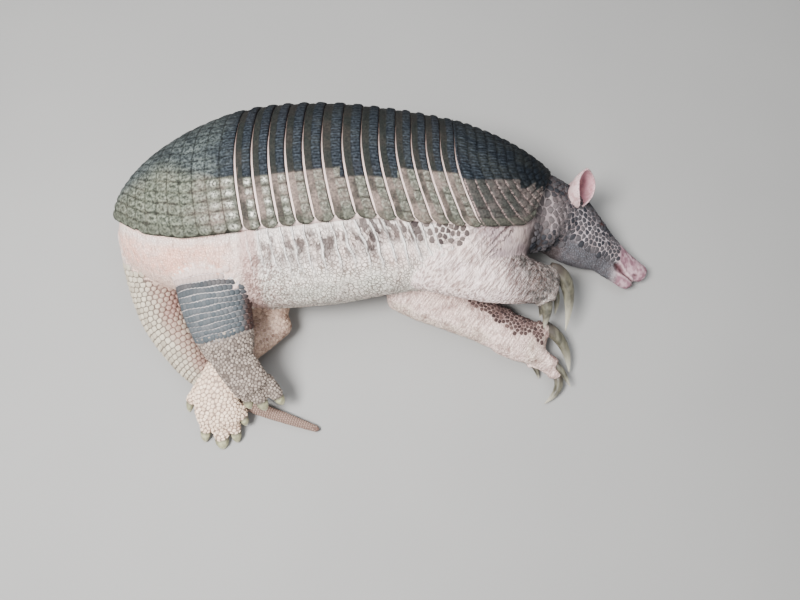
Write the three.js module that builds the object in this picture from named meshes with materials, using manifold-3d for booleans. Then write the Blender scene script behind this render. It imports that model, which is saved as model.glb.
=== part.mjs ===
// Giant armadillo (Priodontes maximus), life size, lying on its left side.
//
// Millimetres, +Z up, floor at Z = 0. The head points to +X and the back to +Y, so the right flank
// faces up. The body is a loft of sections set across a sagittal plane that leans by BODY_ROLL.
// The shell is laid on that loft as plates of one wall thickness: a pelvic shield, thirteen
// movable bands and a scapular shield. Flesh is one loft for each named part of the body, and
// every part is cut back from its neighbour by a thin joint.

import * as THREE from 'three';
import Module from 'manifold-3d';

const wasm = await Module();
wasm.setup();

// ---------- driving dimensions ----------

const JOINT = 0.6;                  // clear joint between two neighbouring pieces
const FACET_TOLERANCE = 0.25;       // facets flatter than this are merged after a cut
const BODY_ROLL = THREE.MathUtils.degToRad(20);   // how far the back is raised from lying flat
const BODY_HEIGHT = 136.5;          // sagittal plane above the floor at mid body
const BODY_FALL = 0.021;            // how much that plane falls towards the floor per mm forward
const HALF_WIDTH_MAX = 125;         // widest half section, shell included
const WAIST_SAG = 0.6;              // how much the narrow ends of the body sink towards the floor
const WIDEST_LEVEL = 0.45;          // widest level as a share of the section's height
const SECTION_POWER = 2.25;         // superellipse power of the body section
const SHELL_WALL = 7;               // thickness of the shell plates
const FLESH_DEPTH = 9.6;            // depth of the flesh below the outer body surface
const SHELL_COLUMNS = 14;           // facets from one lower edge of the shell to the other
const BAND_COUNT = 13;
const BAND_GAP = 1.2;               // open line between two bands
const BAND_START = -128;            // X of the rear edge of the first band
const BAND_WIDTHS = [25, 24.5, 24.5, 26, 28, 30, 28, 26, 25, 23.5, 22, 22, 22];
const REAR_END = -359;              // X where the pelvic shield ends over the tail
const COLLAR_END = 370;             // X of the scapular shield's front edge on the midline
const COLLAR_CURVE = 42;            // how far that edge falls back at the sides
const SWEEP_REAR = 13;              // forward sweep of the band ends at the first band
const SWEEP_FRONT = 31;             // and at the last
const SWEEP_FROM = 0.9;             // angle from the back, in radians, at which the sweep starts
const SWEEP_LIMIT = 1.2;            // share of the quarter turn past which the sweep stops growing
const BANDS_LENGTH = 330;           // length over which the sweep grows from rear to front
const MARGIN_LIMIT = 0.96;          // keeps the shell's lower edge off the very belly line
const TRUNK_ENDS = 0.012;           // share of the loft left off at each end of the trunk

// Body stations: X, back, belly and half width. Back and belly are heights in the sagittal plane.
const BODY_STATIONS = [
  [-367, -56, -70, 6],
  [-357, -32, -106, 46],
  [-331, 6, -140, 80],
  [-286, 47, -166, 104],
  [-214, 92, -190, 118],
  [-118, 126, -206, 124],
  [0, 136, -201, HALF_WIDTH_MAX],
  [112, 127, -181, 122],
  [200, 112, -168, 115],
  [276, 87, -148, 103],
  [332, 60, -118, 84],
  [366, 36, -90, 64],
  [383, 10, -66, 40],
  [388, -14, -44, 10],
];

// Lower edge of the shell: X and its height in the sagittal plane.
const MARGIN_STATIONS = [
  [-362, -46],
  [-318, -58],
  [-268, -76],
  [-205, -82],
  [-62, -64],
  [60, -50],
  [230, -62],
  [310, -58],
  [345, -34],
  [384, 8],
];

// ---------- solids ----------

/** Makes a solid from corner points and triangles that share them. */
function solid(points, triangles) {
  const vertProperties = new Float32Array(points.flatMap((p) => [p.x, p.y, p.z]));
  const triVerts = new Uint32Array(triangles.flat());
  return new wasm.Manifold(new wasm.Mesh({ numProp: 3, vertProperties, triVerts }));
}

/** Closes a stack of equal rings into a solid, with a point in the middle of each end. */
function closeRings(rings) {
  const sides = rings[0].length;
  const points = rings.flat();
  const triangles = [];
  for (let i = 0; i + 1 < rings.length; i += 1) {
    for (let j = 0; j < sides; j += 1) {
      const a = i * sides + j;
      const b = i * sides + ((j + 1) % sides);
      triangles.push([a, b, b + sides], [a, b + sides, a + sides]);
    }
  }
  const first = points.length;
  points.push(centreOf(rings[0]), centreOf(rings[rings.length - 1]));
  const top = (rings.length - 1) * sides;
  for (let j = 0; j < sides; j += 1) {
    const k = (j + 1) % sides;
    triangles.push([first, k, j], [first + 1, top + j, top + k]);
  }
  return outward(points, triangles);
}

/** The mean of a list of points. */
function centreOf(points) {
  const sum = new THREE.Vector3();
  points.forEach((p) => sum.add(p));
  return sum.divideScalar(points.length);
}

/** Makes a solid whose faces point out, whichever way round the triangles were listed. */
function outward(points, triangles) {
  let volume = 0;
  triangles.forEach(([a, b, c]) => {
    volume += points[a].dot(new THREE.Vector3().crossVectors(points[b], points[c]));
  });
  return solid(points, volume < 0 ? triangles.map(([a, b, c]) => [a, c, b]) : triangles);
}

/** Makes a curved plate from a surface function of (u, v), a wall thickness and a grid size. */
function plate(surface, wall, rows, columns, lift = 0) {
  const points = [];
  for (const depth of [lift, lift - wall]) {
    for (let i = 0; i <= rows; i += 1) {
      for (let j = 0; j <= columns; j += 1) {
        points.push(offsetPoint(surface, i / rows, j / columns, depth));
      }
    }
  }
  const layer = (rows + 1) * (columns + 1);
  const at = (i, j, k) => k * layer + i * (columns + 1) + j;
  const triangles = [];
  const quad = (a, b, c, d) => triangles.push([a, b, c], [a, c, d]);
  for (let i = 0; i < rows; i += 1) {
    for (let j = 0; j < columns; j += 1) {
      quad(at(i, j, 0), at(i, j + 1, 0), at(i + 1, j + 1, 0), at(i + 1, j, 0));
      quad(at(i, j, 1), at(i + 1, j, 1), at(i + 1, j + 1, 1), at(i, j + 1, 1));
    }
  }
  for (let i = 0; i < rows; i += 1) {
    quad(at(i, 0, 0), at(i + 1, 0, 0), at(i + 1, 0, 1), at(i, 0, 1));
    quad(at(i, columns, 0), at(i, columns, 1), at(i + 1, columns, 1), at(i + 1, columns, 0));
  }
  for (let j = 0; j < columns; j += 1) {
    quad(at(0, j, 0), at(0, j, 1), at(0, j + 1, 1), at(0, j + 1, 0));
    quad(at(rows, j, 0), at(rows, j + 1, 0), at(rows, j + 1, 1), at(rows, j, 1));
  }
  return outward(points, triangles);
}

/** A point of a surface moved along its normal. */
function offsetPoint(surface, u, v, depth) {
  const step = 0.004;
  const du = surface(Math.min(u + step, 1), v).sub(surface(Math.max(u - step, 0), v));
  const dv = surface(u, Math.min(v + step, 1)).sub(surface(u, Math.max(v - step, 0)));
  const normal = new THREE.Vector3().crossVectors(dv, du).normalize();
  return surface(u, v).addScaledVector(normal, depth);
}

/** A smooth curve through rows of numbers, read at t from 0 to 1. */
function curveThrough(rows) {
  const parts = [0, 3].map((first) => new THREE.CatmullRomCurve3(
    rows.map((row) => new THREE.Vector3(row[first] ?? 0, row[first + 1] ?? 0, row[first + 2] ?? 0)),
  ));
  return (t) => [...parts[0].getPoint(t).toArray(), ...parts[1].getPoint(t).toArray()];
}

/**
 * Lofts a limb. Each station is X, Y, Z, half thickness up and down, and half width across.
 * The ends are rounded by a few extra rings.
 */
function limb(stations, { sides = 12, steps = 8, grow = 0, power = 2, capRings = 2 } = {}) {
  const read = curveThrough(stations);
  const rings = [];
  const ring = (t, shrink, push) => {
    const [x, y, z, thick, wide] = read(t);
    const ahead = read(Math.min(t + 0.01, 1));
    const behind = read(Math.max(t - 0.01, 0));
    const along = new THREE.Vector3(
      ahead[0] - behind[0], ahead[1] - behind[1], ahead[2] - behind[2],
    ).normalize();
    const across = new THREE.Vector3(0, 0, 1).cross(along).normalize();
    const up = new THREE.Vector3().crossVectors(along, across);
    const reach = push * Math.min(thick, wide) + Math.sign(push) * grow;
    const middle = new THREE.Vector3(x, y, z).addScaledVector(along, reach);
    const points = [];
    for (let j = 0; j < sides; j += 1) {
      const [c, s] = superCircle((2 * Math.PI * j) / sides, power);
      points.push(middle.clone()
        .addScaledVector(across, c * (wide * shrink + grow))
        .addScaledVector(up, s * (thick * shrink + grow)));
    }
    rings.push(points);
  };
  for (let i = capRings; i > 0; i -= 1) {
    ring(0, capSize(i, capRings), -capPush(i, capRings));
  }
  for (let i = 0; i <= steps; i += 1) {
    ring(i / steps, 1, 0);
  }
  for (let i = 1; i <= capRings; i += 1) {
    ring(1, capSize(i, capRings), capPush(i, capRings));
  }
  return closeRings(rings);
}

/** The size of ring i of a rounded end, as a share of the limb's own. */
function capSize(i, count) {
  return Math.cos((i / (count + 0.4)) * (Math.PI / 2));
}

/** How far ring i of a rounded end stands out, as a share of the limb's half thickness. */
function capPush(i, count) {
  return 0.55 * Math.sin((i / (count + 0.4)) * (Math.PI / 2));
}

/** Cosine and sine of an angle, bulged towards a square as the power grows past 2. */
function superCircle(angle, power) {
  const bulge = (value) => Math.sign(value) * Math.abs(value) ** (2 / power);
  return [bulge(Math.cos(angle)), bulge(Math.sin(angle))];
}

/** Joins solids. */
function join(...solids) {
  return solids.reduce((whole, next) => whole.add(next));
}

/** Cuts tools from a solid and keeps its largest piece. */
function cut(body, ...tools) {
  const rest = tools.reduce((left, tool) => left.subtract(tool), body);
  const larger = (best, next) => (next.volume() > best.volume() ? next : best);
  return rest.decompose().reduce(larger).simplify(FACET_TOLERANCE);
}

/** A ball for an eye. */
function eyeball(centre, radius) {
  const across = 8;
  const down = 5;
  const rings = [];
  for (let i = 1; i < down; i += 1) {
    const lat = (Math.PI * i) / down;
    rings.push(Array.from({ length: across }, (_, j) => new THREE.Vector3(
      centre[0] + radius * Math.sin(lat) * Math.cos((2 * Math.PI * j) / across),
      centre[1] + radius * Math.sin(lat) * Math.sin((2 * Math.PI * j) / across),
      centre[2] + radius * Math.cos(lat),
    )));
  }
  return closeRings(rings);
}

/** Everything below the floor. */
function belowFloor() {
  const reach = 800;
  const corners = [];
  for (const z of [-200, 0]) {
    for (const [sx, sy] of [[-1, -1], [1, -1], [1, 1], [-1, 1]]) {
      corners.push(new THREE.Vector3(sx * reach, sy * reach, z));
    }
  }
  return closeRings([corners.slice(0, 4), corners.slice(4)]);
}

// ---------- body surface ----------

const bodyCurve = curveThrough(BODY_STATIONS);

/** The loft parameter at which the body's stations reach a given X. */
function bodyAt(x) {
  let low = 0;
  let high = 1;
  for (let i = 0; i < 30; i += 1) {
    const middle = (low + high) / 2;
    if (bodyCurve(middle)[0] < x) {
      low = middle;
    } else {
      high = middle;
    }
  }
  return (low + high) / 2;
}

/** Turns X, height in the sagittal plane and distance to the animal's right into a point. */
function placed(x, dorsal, right) {
  return new THREE.Vector3(
    x,
    dorsal * Math.cos(BODY_ROLL) - right * Math.sin(BODY_ROLL),
    BODY_HEIGHT - BODY_FALL * x + dorsal * Math.sin(BODY_ROLL) + right * Math.cos(BODY_ROLL),
  );
}

/** A point of the body surface at loft parameter t and an angle from the back, right side positive. */
function bodyPoint(t, angle) {
  const [x, back, belly, half] = bodyCurve(t);
  const level = belly + WIDEST_LEVEL * (back - belly);
  const [c, s] = superCircle(angle, SECTION_POWER);
  const height = level + c * (c > 0 ? back - level : level - belly);
  const lean = -WAIST_SAG * (HALF_WIDTH_MAX - half);
  return placed(x, height, s * half + lean);
}

/** The angle from the back at which the shell ends, at loft parameter t. */
function marginAngle(t) {
  const [x, back, belly] = bodyCurve(t);
  const level = belly + WIDEST_LEVEL * (back - belly);
  let k = 0;
  while (k < MARGIN_STATIONS.length - 2 && MARGIN_STATIONS[k + 1][0] < x) {
    k += 1;
  }
  const [x0, m0] = MARGIN_STATIONS[k];
  const [x1, m1] = MARGIN_STATIONS[k + 1];
  const margin = m0 + (m1 - m0) * THREE.MathUtils.clamp((x - x0) / (x1 - x0), 0, 1);
  const share = (margin - level) / (margin > level ? back - level : level - belly);
  const cosine = Math.sign(share) * Math.min(Math.abs(share), MARGIN_LIMIT) ** (SECTION_POWER / 2);
  return Math.acos(cosine);
}

/** How far forward a band's edge is swept at an angle from the back. */
function sweep(x, angle) {
  const share = THREE.MathUtils.clamp((x - BAND_START) / BANDS_LENGTH, 0, 1);
  const past = Math.max(0, Math.abs(angle) - SWEEP_FROM) / (Math.PI / 2 - SWEEP_FROM);
  return THREE.MathUtils.lerp(SWEEP_REAR, SWEEP_FRONT, share) * Math.min(past, SWEEP_LIMIT) ** 2;
}

/**
 * Makes a plate of the shell between its rear and front edges, which are functions of the angle
 * from the back.
 */
function shellPlate({ rear, front, rows, ease = 1 }, grow = 0) {
  const surface = (u, v) => {
    const side = 2 * v - 1;
    let t = bodyAt((rear(0) + front(0)) / 2);
    let angle = side * marginAngle(t);
    for (let i = 0; i < 2; i += 1) {
      const x = THREE.MathUtils.lerp(rear(angle) - 2 * grow, front(angle) + 2 * grow, u ** ease);
      t = bodyAt(x);
      angle = side * (marginAngle(t) + grow / HALF_WIDTH_MAX);
    }
    return bodyPoint(t, angle);
  };
  return plate(surface, SHELL_WALL + 2 * grow, rows, SHELL_COLUMNS, grow);
}

/** The body's whole flesh inside the shell, grown by the width of a joint for cutting. */
function trunkSolid(grow = 0) {
  const rings = [];
  const steps = 16;
  const sides = 18;
  for (let i = 0; i <= steps; i += 1) {
    const t = THREE.MathUtils.lerp(TRUNK_ENDS, 1 - TRUNK_ENDS, i / steps);
    const surface = (u, v) => bodyPoint(u, 2 * Math.PI * v);
    const points = [];
    for (let j = 0; j < sides; j += 1) {
      points.push(offsetPoint(surface, t, j / sides, grow - FLESH_DEPTH));
    }
    rings.push(points);
  }
  return closeRings(rings);
}

// ---------- flesh: X, Y, Z, half thickness, half width ----------

const TAIL = [
  [-306, -62, 104, 50, 48],
  [-304, -104, 82, 46, 46],
  [-301, -148, 56, 42, 43],
  [-288, -194, 39, 39, 40],
  [-263, -238, 32, 33, 34],
  [-229, -282, 25, 26, 27],
  [-186, -316, 17, 18, 18],
  [-131, -345, 11.5, 12, 12.5],
  [-72, -366, 9.5, 9.5, 10],
  [-24, -382, 6.2, 6.2, 6.8],
];

const NECK = [
  [338, -22, 98, 62, 74],
  [360, -19, 85, 57, 66],
  [382, -20, 72, 53, 60],
];

const HEAD = [
  [374, -18, 73, 54, 62],
  [402, -33, 57, 51, 62],
  [426, -49, 47, 47, 57],
  [455, -65, 37, 39, 46],
  [484, -79, 29, 29, 33],
  [514, -95, 23, 21, 24],
  [545, -111, 19, 16, 17],
];

const JAW = [
  [472, -100, 30, 18, 15],
  [496, -114, 24, 15, 14],
  [519, -127, 20, 12, 12],
];

const FORELEG_LEFT = [
  [[215, -62, 78, 44, 50], [165, -104, 52, 40, 42], [122, -140, 37, 37, 37]],
  [[114, -146, 35, 36, 36], [152, -160, 35, 36, 40], [200, -178, 34, 35, 39], [250, -196, 32, 33, 39],
    [292, -214, 30, 31, 40]],
];

const FORELEG_RIGHT = [
  [[250, -48, 150, 50, 62], [205, -92, 152, 44, 58], [160, -126, 146, 40, 50]],
  [[150, -126, 141, 38, 46], [195, -132, 136, 40, 49], [250, -139, 122, 38, 49], [300, -144, 108, 32, 45],
    [336, -148, 99, 27, 38]],
];

const HINDLEG_LEFT = [
  [[-205, -75, 78, 50, 58], [-150, -136, 52, 44, 50], [-106, -188, 38, 38, 38]],
  [[-100, -196, 37, 36, 36], [-128, -228, 42, 29, 32], [-156, -258, 52, 24, 28], [-182, -283, 60, 19, 24]],
];

const HINDLEG_RIGHT = [
  [[-186, -95, 146, 50, 62], [-178, -148, 148, 44, 61], [-172, -192, 142, 38, 55],
    [-162, -232, 128, 31, 49], [-152, -266, 113, 24, 40]],
];

const FEET = {
  forefoot_left: {
    palm: [[292, -220, 31, 31, 38], [325, -232, 30, 27, 40], [350, -247, 27, 22, 32]],
    digits: [
      [[330, -255, 20, 13, 13], [346, -274, 14, 8, 8]],
      [[345, -252, 30, 16, 17], [380, -274, 30, 11, 10]],
      [[334, -222, 34, 16, 18], [368, -212, 34, 13, 14]],
      [[348, -258, 24, 17, 18], [386, -292, 18, 11, 11]],
      [[330, -250, 16, 12, 12], [352, -262, 9, 7, 7]],
    ],
    claws: [
      [[346, -274, 14], [353, -284, 12], [356, -296, 6], 5, 5],
      [[378, -273, 31], [394, -288, 32], [406, -312, 20], 6, 7],
      [[366, -212, 34], [404, -232, 32], [406, -286, 18], 9, 12],
      [[384, -291, 18], [396, -314, 16], [363, -339, 6], 8, 9],
      [[350, -261, 9], [362, -268, 9], [368, -278, 5], 4, 4],
    ],
  },
  forefoot_right: {
    palm: [[336, -148, 99, 27, 38], [354, -153, 92, 23, 33], [368, -157, 86, 18, 25]],
    digits: [
      [[345, -165, 80, 10, 10], [352, -180, 68, 7, 7]],
      [[350, -160, 92, 15, 15], [356, -174, 88, 12, 12]],
      [[352, -140, 92, 16, 18], [374, -126, 88, 12, 14]],
      [[355, -150, 78, 12, 13], [374, -154, 68, 9, 9]],
      [[345, -150, 78, 10, 10], [356, -160, 66, 6, 6]],
    ],
    claws: [
      [[352, -180, 68], [354, -190, 64], [352, -198, 56], 4, 5],
      [[356, -172, 89], [361, -194, 86], [358, -217, 56], 11, 9],
      [[374, -126, 88], [410, -140, 80], [398, -218, 42], 10, 14],
      [[376, -154, 68], [384, -164, 64], [380, -192, 48], 6, 7],
      [[356, -160, 66], [362, -168, 62], [362, -178, 56], 4, 4],
    ],
  },
  hindfoot_left: {
    palm: [
      [-182, -283, 62, 19, 24], [-186, -318, 60, 16, 33], [-186, -350, 46, 15, 39], [-186, -372, 34, 13, 35],
    ],
    digits: [
      [[-152, -345, 40, 11, 12], [-147, -362, 28, 9, 10]],
      [[-166, -366, 29, 12, 13], [-161, -386, 14, 10, 11]],
      [[-187, -372, 27, 13, 15], [-185, -396, 11, 11, 13]],
      [[-208, -364, 29, 12, 13], [-212, -384, 14, 10, 11]],
      [[-210, -310, 52, 12, 13], [-234, -336, 35, 11, 11]],
    ],
    claws: [
      [[-147, -362, 27], [-145, -371, 23], [-144, -376, 12], 8, 6],
      [[-161, -386, 14], [-160, -398, 11], [-160, -404, 0], 9, 6],
      [[-185, -396, 11], [-184, -408, 9], [-184, -415, -1], 12, 7],
      [[-212, -384, 14], [-214, -396, 11], [-215, -403, 0], 9, 6],
      [[-234, -336, 34], [-239, -347, 29], [-240, -354, 17], 8, 6],
    ],
  },
  hindfoot_right: {
    palm: [[-156, -268, 112, 22, 32], [-138, -294, 96, 18, 33], [-122, -318, 80, 16, 31]],
    digits: [
      [[-130, -300, 74, 11, 12], [-112, -312, 54, 8, 9]],
      [[-108, -314, 62, 10, 10], [-97, -327, 44, 8, 8]],
      [[-104, -304, 73, 13, 14], [-86, -329, 53, 12, 12]],
      [[-126, -308, 80, 14, 15], [-112, -337, 62, 13, 14]],
      [[-138, -312, 84, 12, 12], [-131, -338, 70, 10, 10]],
    ],
    claws: [
      [[-112, -312, 54], [-107, -317, 48], [-104, -320, 40], 6, 5],
      [[-97, -327, 44], [-93, -332, 39], [-91, -335, 31], 6, 5],
      [[-86, -330, 53], [-80, -338, 49], [-78, -343, 40], 9, 6],
      [[-111, -339, 62], [-106, -348, 58], [-104, -353, 49], 10, 6],
      [[-131, -339, 70], [-129, -347, 67], [-127, -351, 58], 8, 6],
    ],
  },
};

/** Joins the lofts of a limb that bends sharply. */
function bent(lofts, options) {
  return join(...lofts.map((stations) => limb(stations, options)));
}

const LEG_FACETS = { sides: 10, steps: 4, capRings: 1 };
const DIGIT_FACETS = { sides: 5, steps: 1, capRings: 1 };

/** The palm or sole of a foot with its five digits. */
function footSolid(foot, grow = 0) {
  const digits = foot.digits.map((stations) => limb(stations, { ...DIGIT_FACETS, grow }));
  return join(limb(foot.palm, { steps: 3, sides: 7, grow, power: 2.4, capRings: 1 }), ...digits);
}

const CLAW_SIDES = 5;
const CLAW_TAPER = 0.8;             // power of the claw's outline, 1 would be a parabola
const CLAW_TIP = 0.1;               // blunt tip, as a share of the root
const CLAW_SEAT = 0.6;              // how far the root sinks into the toe, in half widths
const LONG_CLAW = 8;                // a claw deeper than this is curved in finer steps

/** A curved horn from its root through a bend to its tip, with half widths across and in depth. */
function clawSolid([root, bend, tip, wide, deep]) {
  const curve = new THREE.QuadraticBezierCurve3(
    new THREE.Vector3(...root), new THREE.Vector3(...bend), new THREE.Vector3(...tip),
  );
  const start = curve.getPoint(0).addScaledVector(curve.getTangent(0), -wide * CLAW_SEAT);
  const rings = [];
  const steps = deep > LONG_CLAW ? 5 : 3;
  const across = new THREE.Vector3().crossVectors(curve.getTangent(0), curve.getTangent(1)).normalize();
  for (let i = 0; i <= steps; i += 1) {
    const t = i / steps;
    const along = curve.getTangent(t);
    const out = new THREE.Vector3().crossVectors(along, across).normalize();
    const size = Math.max((1 - t * t) ** CLAW_TAPER, CLAW_TIP);
    const middle = i === 0 ? start : curve.getPoint(t);
    rings.push(Array.from({ length: CLAW_SIDES }, (_, j) => {
      const angle = (2 * Math.PI * j) / CLAW_SIDES;
      return middle.clone()
        .addScaledVector(across, Math.cos(angle) * wide * size)
        .addScaledVector(out, Math.sin(angle) * deep * size);
    }));
  }
  return closeRings(rings);
}

// ---------- ears and eyes ----------

const EAR_WALL = 2.6;
const EAR_ROLL = [4.4, 2.2];        // how far round the ear is rolled at its root and tip, radians
const EAR_NECK = 0.36;              // width at the root as a share of the widest part
const EAR_CLOSE = 0.8;              // share of the height at which the tip begins to round off
const EAR_OPEN = 0.55;              // how far the cup's back stands behind its axis
const EYE_RADIUS = 6;

/** An ear: a leaf that stands on the head, rolled into a cup that opens to one side. */
function earSolid({ root, tip, facing, width, cup }) {
  const base = new THREE.Vector3(...root);
  const along = new THREE.Vector3(...tip).sub(base);
  const height = along.length();
  along.normalize();
  const out = new THREE.Vector3(...facing);
  out.addScaledVector(along, -out.dot(along)).normalize();
  const across = new THREE.Vector3().crossVectors(along, out);
  const surface = (u, v) => {
    const outline = EAR_NECK + (1 - EAR_NECK) * Math.sin(Math.PI * (0.08 + 0.74 * u)) ** 0.9;
    const past = Math.max(0, (u - EAR_CLOSE) / (1 - EAR_CLOSE));
    const close = Math.sqrt(Math.max(1 - past ** 2, 0.05));
    const roll = (v - 0.5) * THREE.MathUtils.lerp(...EAR_ROLL, u);
    const radius = (width / 2) * outline * close;
    return base.clone()
      .addScaledVector(along, u * height)
      .addScaledVector(across, radius * Math.sin(roll))
      .addScaledVector(out, cup * outline * close * (EAR_OPEN - Math.cos(roll)));
  };
  return plate(surface, EAR_WALL, 5, 6);
}

const EARS = {
  ear_right: { root: [408, -8, 98], tip: [424, 32, 146], facing: [0.62, -0.54, 0.53], width: 50, cup: 14 },
  ear_left: { root: [424, 12, 34], tip: [436, 60, 40], facing: [0.5, 0.2, -0.6], width: 36, cup: 11 },
};

// Each eye's centre, and the way that it looks.
const EYES = {
  eye_right: { centre: [459, -36, 69.6], gaze: [0.26, 0.46, 0.85] },
  eye_left: { centre: [459, -36, 10.4], gaze: [0.26, 0.46, -0.85] },
};

// ---------- assembly ----------

const COLOURS = {
  shell: [0x6f7268, 0.6],
  skin: [0xd8b3a6, 0.75],
  scaled: [0x9a8578, 0.7],
  ear: [0xd9a3a8, 0.65],
  claw: [0xa39a72, 0.4],
  eye: [0x241a18, 0.15],
};

const group = new THREE.Group();

/** Adds a solid to the model as a named mesh with its own material. */
function add(name, body, look) {
  const { vertProperties, triVerts } = body.getMesh();
  const geometry = new THREE.BufferGeometry();
  geometry.setAttribute('position', new THREE.BufferAttribute(new Float32Array(vertProperties), 3));
  geometry.setIndex(new THREE.BufferAttribute(new Uint32Array(triVerts), 1));
  geometry.computeVertexNormals();
  const [color, roughness] = COLOURS[look];
  const mesh = new THREE.Mesh(geometry, new THREE.MeshStandardMaterial({ color, roughness, metalness: 0 }));
  mesh.name = name;
  group.add(mesh);
}

const floor = belowFloor();

/** Lists the shell's plates from rear to front, each with its name and its two edges. */
function shellLayout() {
  const edge = (x) => (angle) => x + sweep(x, angle);
  const plates = [{
    name: 'pelvic_shield', rear: () => REAR_END, front: edge(BAND_START - BAND_GAP), rows: 8, ease: 1.6,
  }];
  let x = BAND_START;
  for (let i = 0; i < BAND_COUNT; i += 1) {
    const next = x + BAND_WIDTHS[i];
    plates.push({
      name: `band_${String(i + 1).padStart(2, '0')}`, rear: edge(x), front: edge(next - BAND_GAP), rows: 1,
    });
    x = next;
  }
  const fallBack = (angle) => Math.min(Math.abs(angle) / (Math.PI / 2), 1) ** 2;
  const collar = (angle) => COLLAR_END - COLLAR_CURVE * fallBack(angle);
  plates.push({ name: 'scapular_shield', rear: edge(x), front: collar, rows: 5, ease: 0.8 });
  return plates;
}

const shellPlates = shellLayout();
const shellCutter = join(...shellPlates.map((item) => shellPlate(item, 2 * JOINT)));

shellPlates.forEach((item) => add(item.name, cut(shellPlate(item), floor), 'shell'));

const trunk = cut(trunkSolid(), floor);
const trunkCutter = trunkSolid(JOINT);
add('trunk', trunk, 'skin');

const SOCKET_MOUTH = 0.9;           // radius of the opening in front of the eye, in eye radii

const eyes = Object.entries(EYES);
const eyeSockets = eyes.map(([, { centre, gaze }]) => {
  const mouth = centre.map((value, axis) => value + gaze[axis] * EYE_RADIUS);
  return join(eyeball(centre, EYE_RADIUS + JOINT), eyeball(mouth, EYE_RADIUS * SOCKET_MOUTH));
});
const neck = (grow) => limb(NECK, { steps: 2, sides: 12, grow, capRings: 1 });
const skull = (grow) => limb(HEAD, { steps: 7, sides: 13, grow });
const neckCutter = neck(JOINT);
const headCutter = skull(JOINT);
add('neck', cut(neck(0), trunkCutter, shellCutter, floor), 'skin');
add('head', cut(skull(0), neckCutter, trunkCutter, shellCutter, floor, ...eyeSockets), 'skin');
add('lower_jaw', cut(limb(JAW, { steps: 3, sides: 10 }), headCutter, floor), 'skin');
eyes.forEach(([name, { centre }]) => add(name, eyeball(centre, EYE_RADIUS), 'eye'));
Object.entries(EARS).forEach(([name, ear]) => {
  add(name, cut(earSolid(ear), headCutter, neckCutter, shellCutter), 'ear');
});

const inner = [trunkCutter, shellCutter, floor];
const tail = (grow) => limb(TAIL, { steps: 11, sides: 10, grow });
add('tail', cut(tail(0), ...inner), 'scaled');

const LEGS = [
  ['foreleg_left', FORELEG_LEFT, 'forefoot_left', 'claw_front_left'],
  ['foreleg_right', FORELEG_RIGHT, 'forefoot_right', 'claw_front_right'],
  ['hindleg_left', HINDLEG_LEFT, 'hindfoot_left', 'claw_hind_left'],
  ['hindleg_right', HINDLEG_RIGHT, 'hindfoot_right', 'claw_hind_right'],
];

LEGS.forEach(([legName, lofts, footName, clawName]) => {
  const foot = FEET[footName];
  const clearOf = [...inner, neckCutter, tail(JOINT)];
  add(legName, cut(bent(lofts, LEG_FACETS), ...clearOf), 'scaled');
  const legCutter = bent(lofts, { ...LEG_FACETS, grow: JOINT });
  add(footName, cut(footSolid(foot), legCutter, ...clearOf), 'skin');
  const footCutter = footSolid(foot, JOINT);
  foot.claws.forEach((claw, i) => {
    add(`${clawName}_${i + 1}`, cut(clawSolid(claw), footCutter, floor), 'claw');
  });
});

const box = new THREE.Box3().setFromObject(group);
group.position.set(-(box.min.x + box.max.x) / 2, -(box.min.y + box.max.y) / 2, 0);

export default group;
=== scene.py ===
"""Looks of a life-size giant armadillo that lies on its left side.

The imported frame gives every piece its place. The shell, the claws, the ears and the eyes are
rebuilt as fine pieces over their own nodes, and one skin stands for all the nodes of flesh.
Small horny scales lie on that skin as joined meshes. Shapes are worked out in millimetres on the
body's own axes, head to +X and back to +Y, and set down in the frame in metres.
"""

from __future__ import annotations

import logging
import math
from dataclasses import dataclass, field
from enum import Enum
from typing import Callable, Sequence

import bmesh
import bpy
import numpy as np
from mathutils import Matrix, Vector
from mathutils.bvhtree import BVHTree
from mathutils.kdtree import KDTree

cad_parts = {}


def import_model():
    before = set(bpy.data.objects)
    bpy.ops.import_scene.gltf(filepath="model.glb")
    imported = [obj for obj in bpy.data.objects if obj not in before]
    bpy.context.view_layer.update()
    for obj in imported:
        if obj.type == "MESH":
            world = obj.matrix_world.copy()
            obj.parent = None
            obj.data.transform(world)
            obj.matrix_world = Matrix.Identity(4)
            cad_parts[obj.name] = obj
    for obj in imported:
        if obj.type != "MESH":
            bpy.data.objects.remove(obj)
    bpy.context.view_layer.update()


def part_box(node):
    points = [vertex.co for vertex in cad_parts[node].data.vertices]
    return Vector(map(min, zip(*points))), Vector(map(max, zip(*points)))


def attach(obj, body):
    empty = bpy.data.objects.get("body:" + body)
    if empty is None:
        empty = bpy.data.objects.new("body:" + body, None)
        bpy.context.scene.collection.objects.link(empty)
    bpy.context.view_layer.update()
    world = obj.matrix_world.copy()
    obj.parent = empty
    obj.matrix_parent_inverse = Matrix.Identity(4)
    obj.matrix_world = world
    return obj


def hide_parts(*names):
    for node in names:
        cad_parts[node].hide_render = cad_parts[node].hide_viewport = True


Array = np.ndarray
Rows = Sequence[Sequence[float]]
Colour = tuple[float, float, float]

MM = 0.001
BODY = "root"
# X between which the shell has a lower edge
SHELL_SPAN = (-352.0, 380.0)
log = logging.getLogger("armadillo")


# ---------- curves and noise ----------


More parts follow.
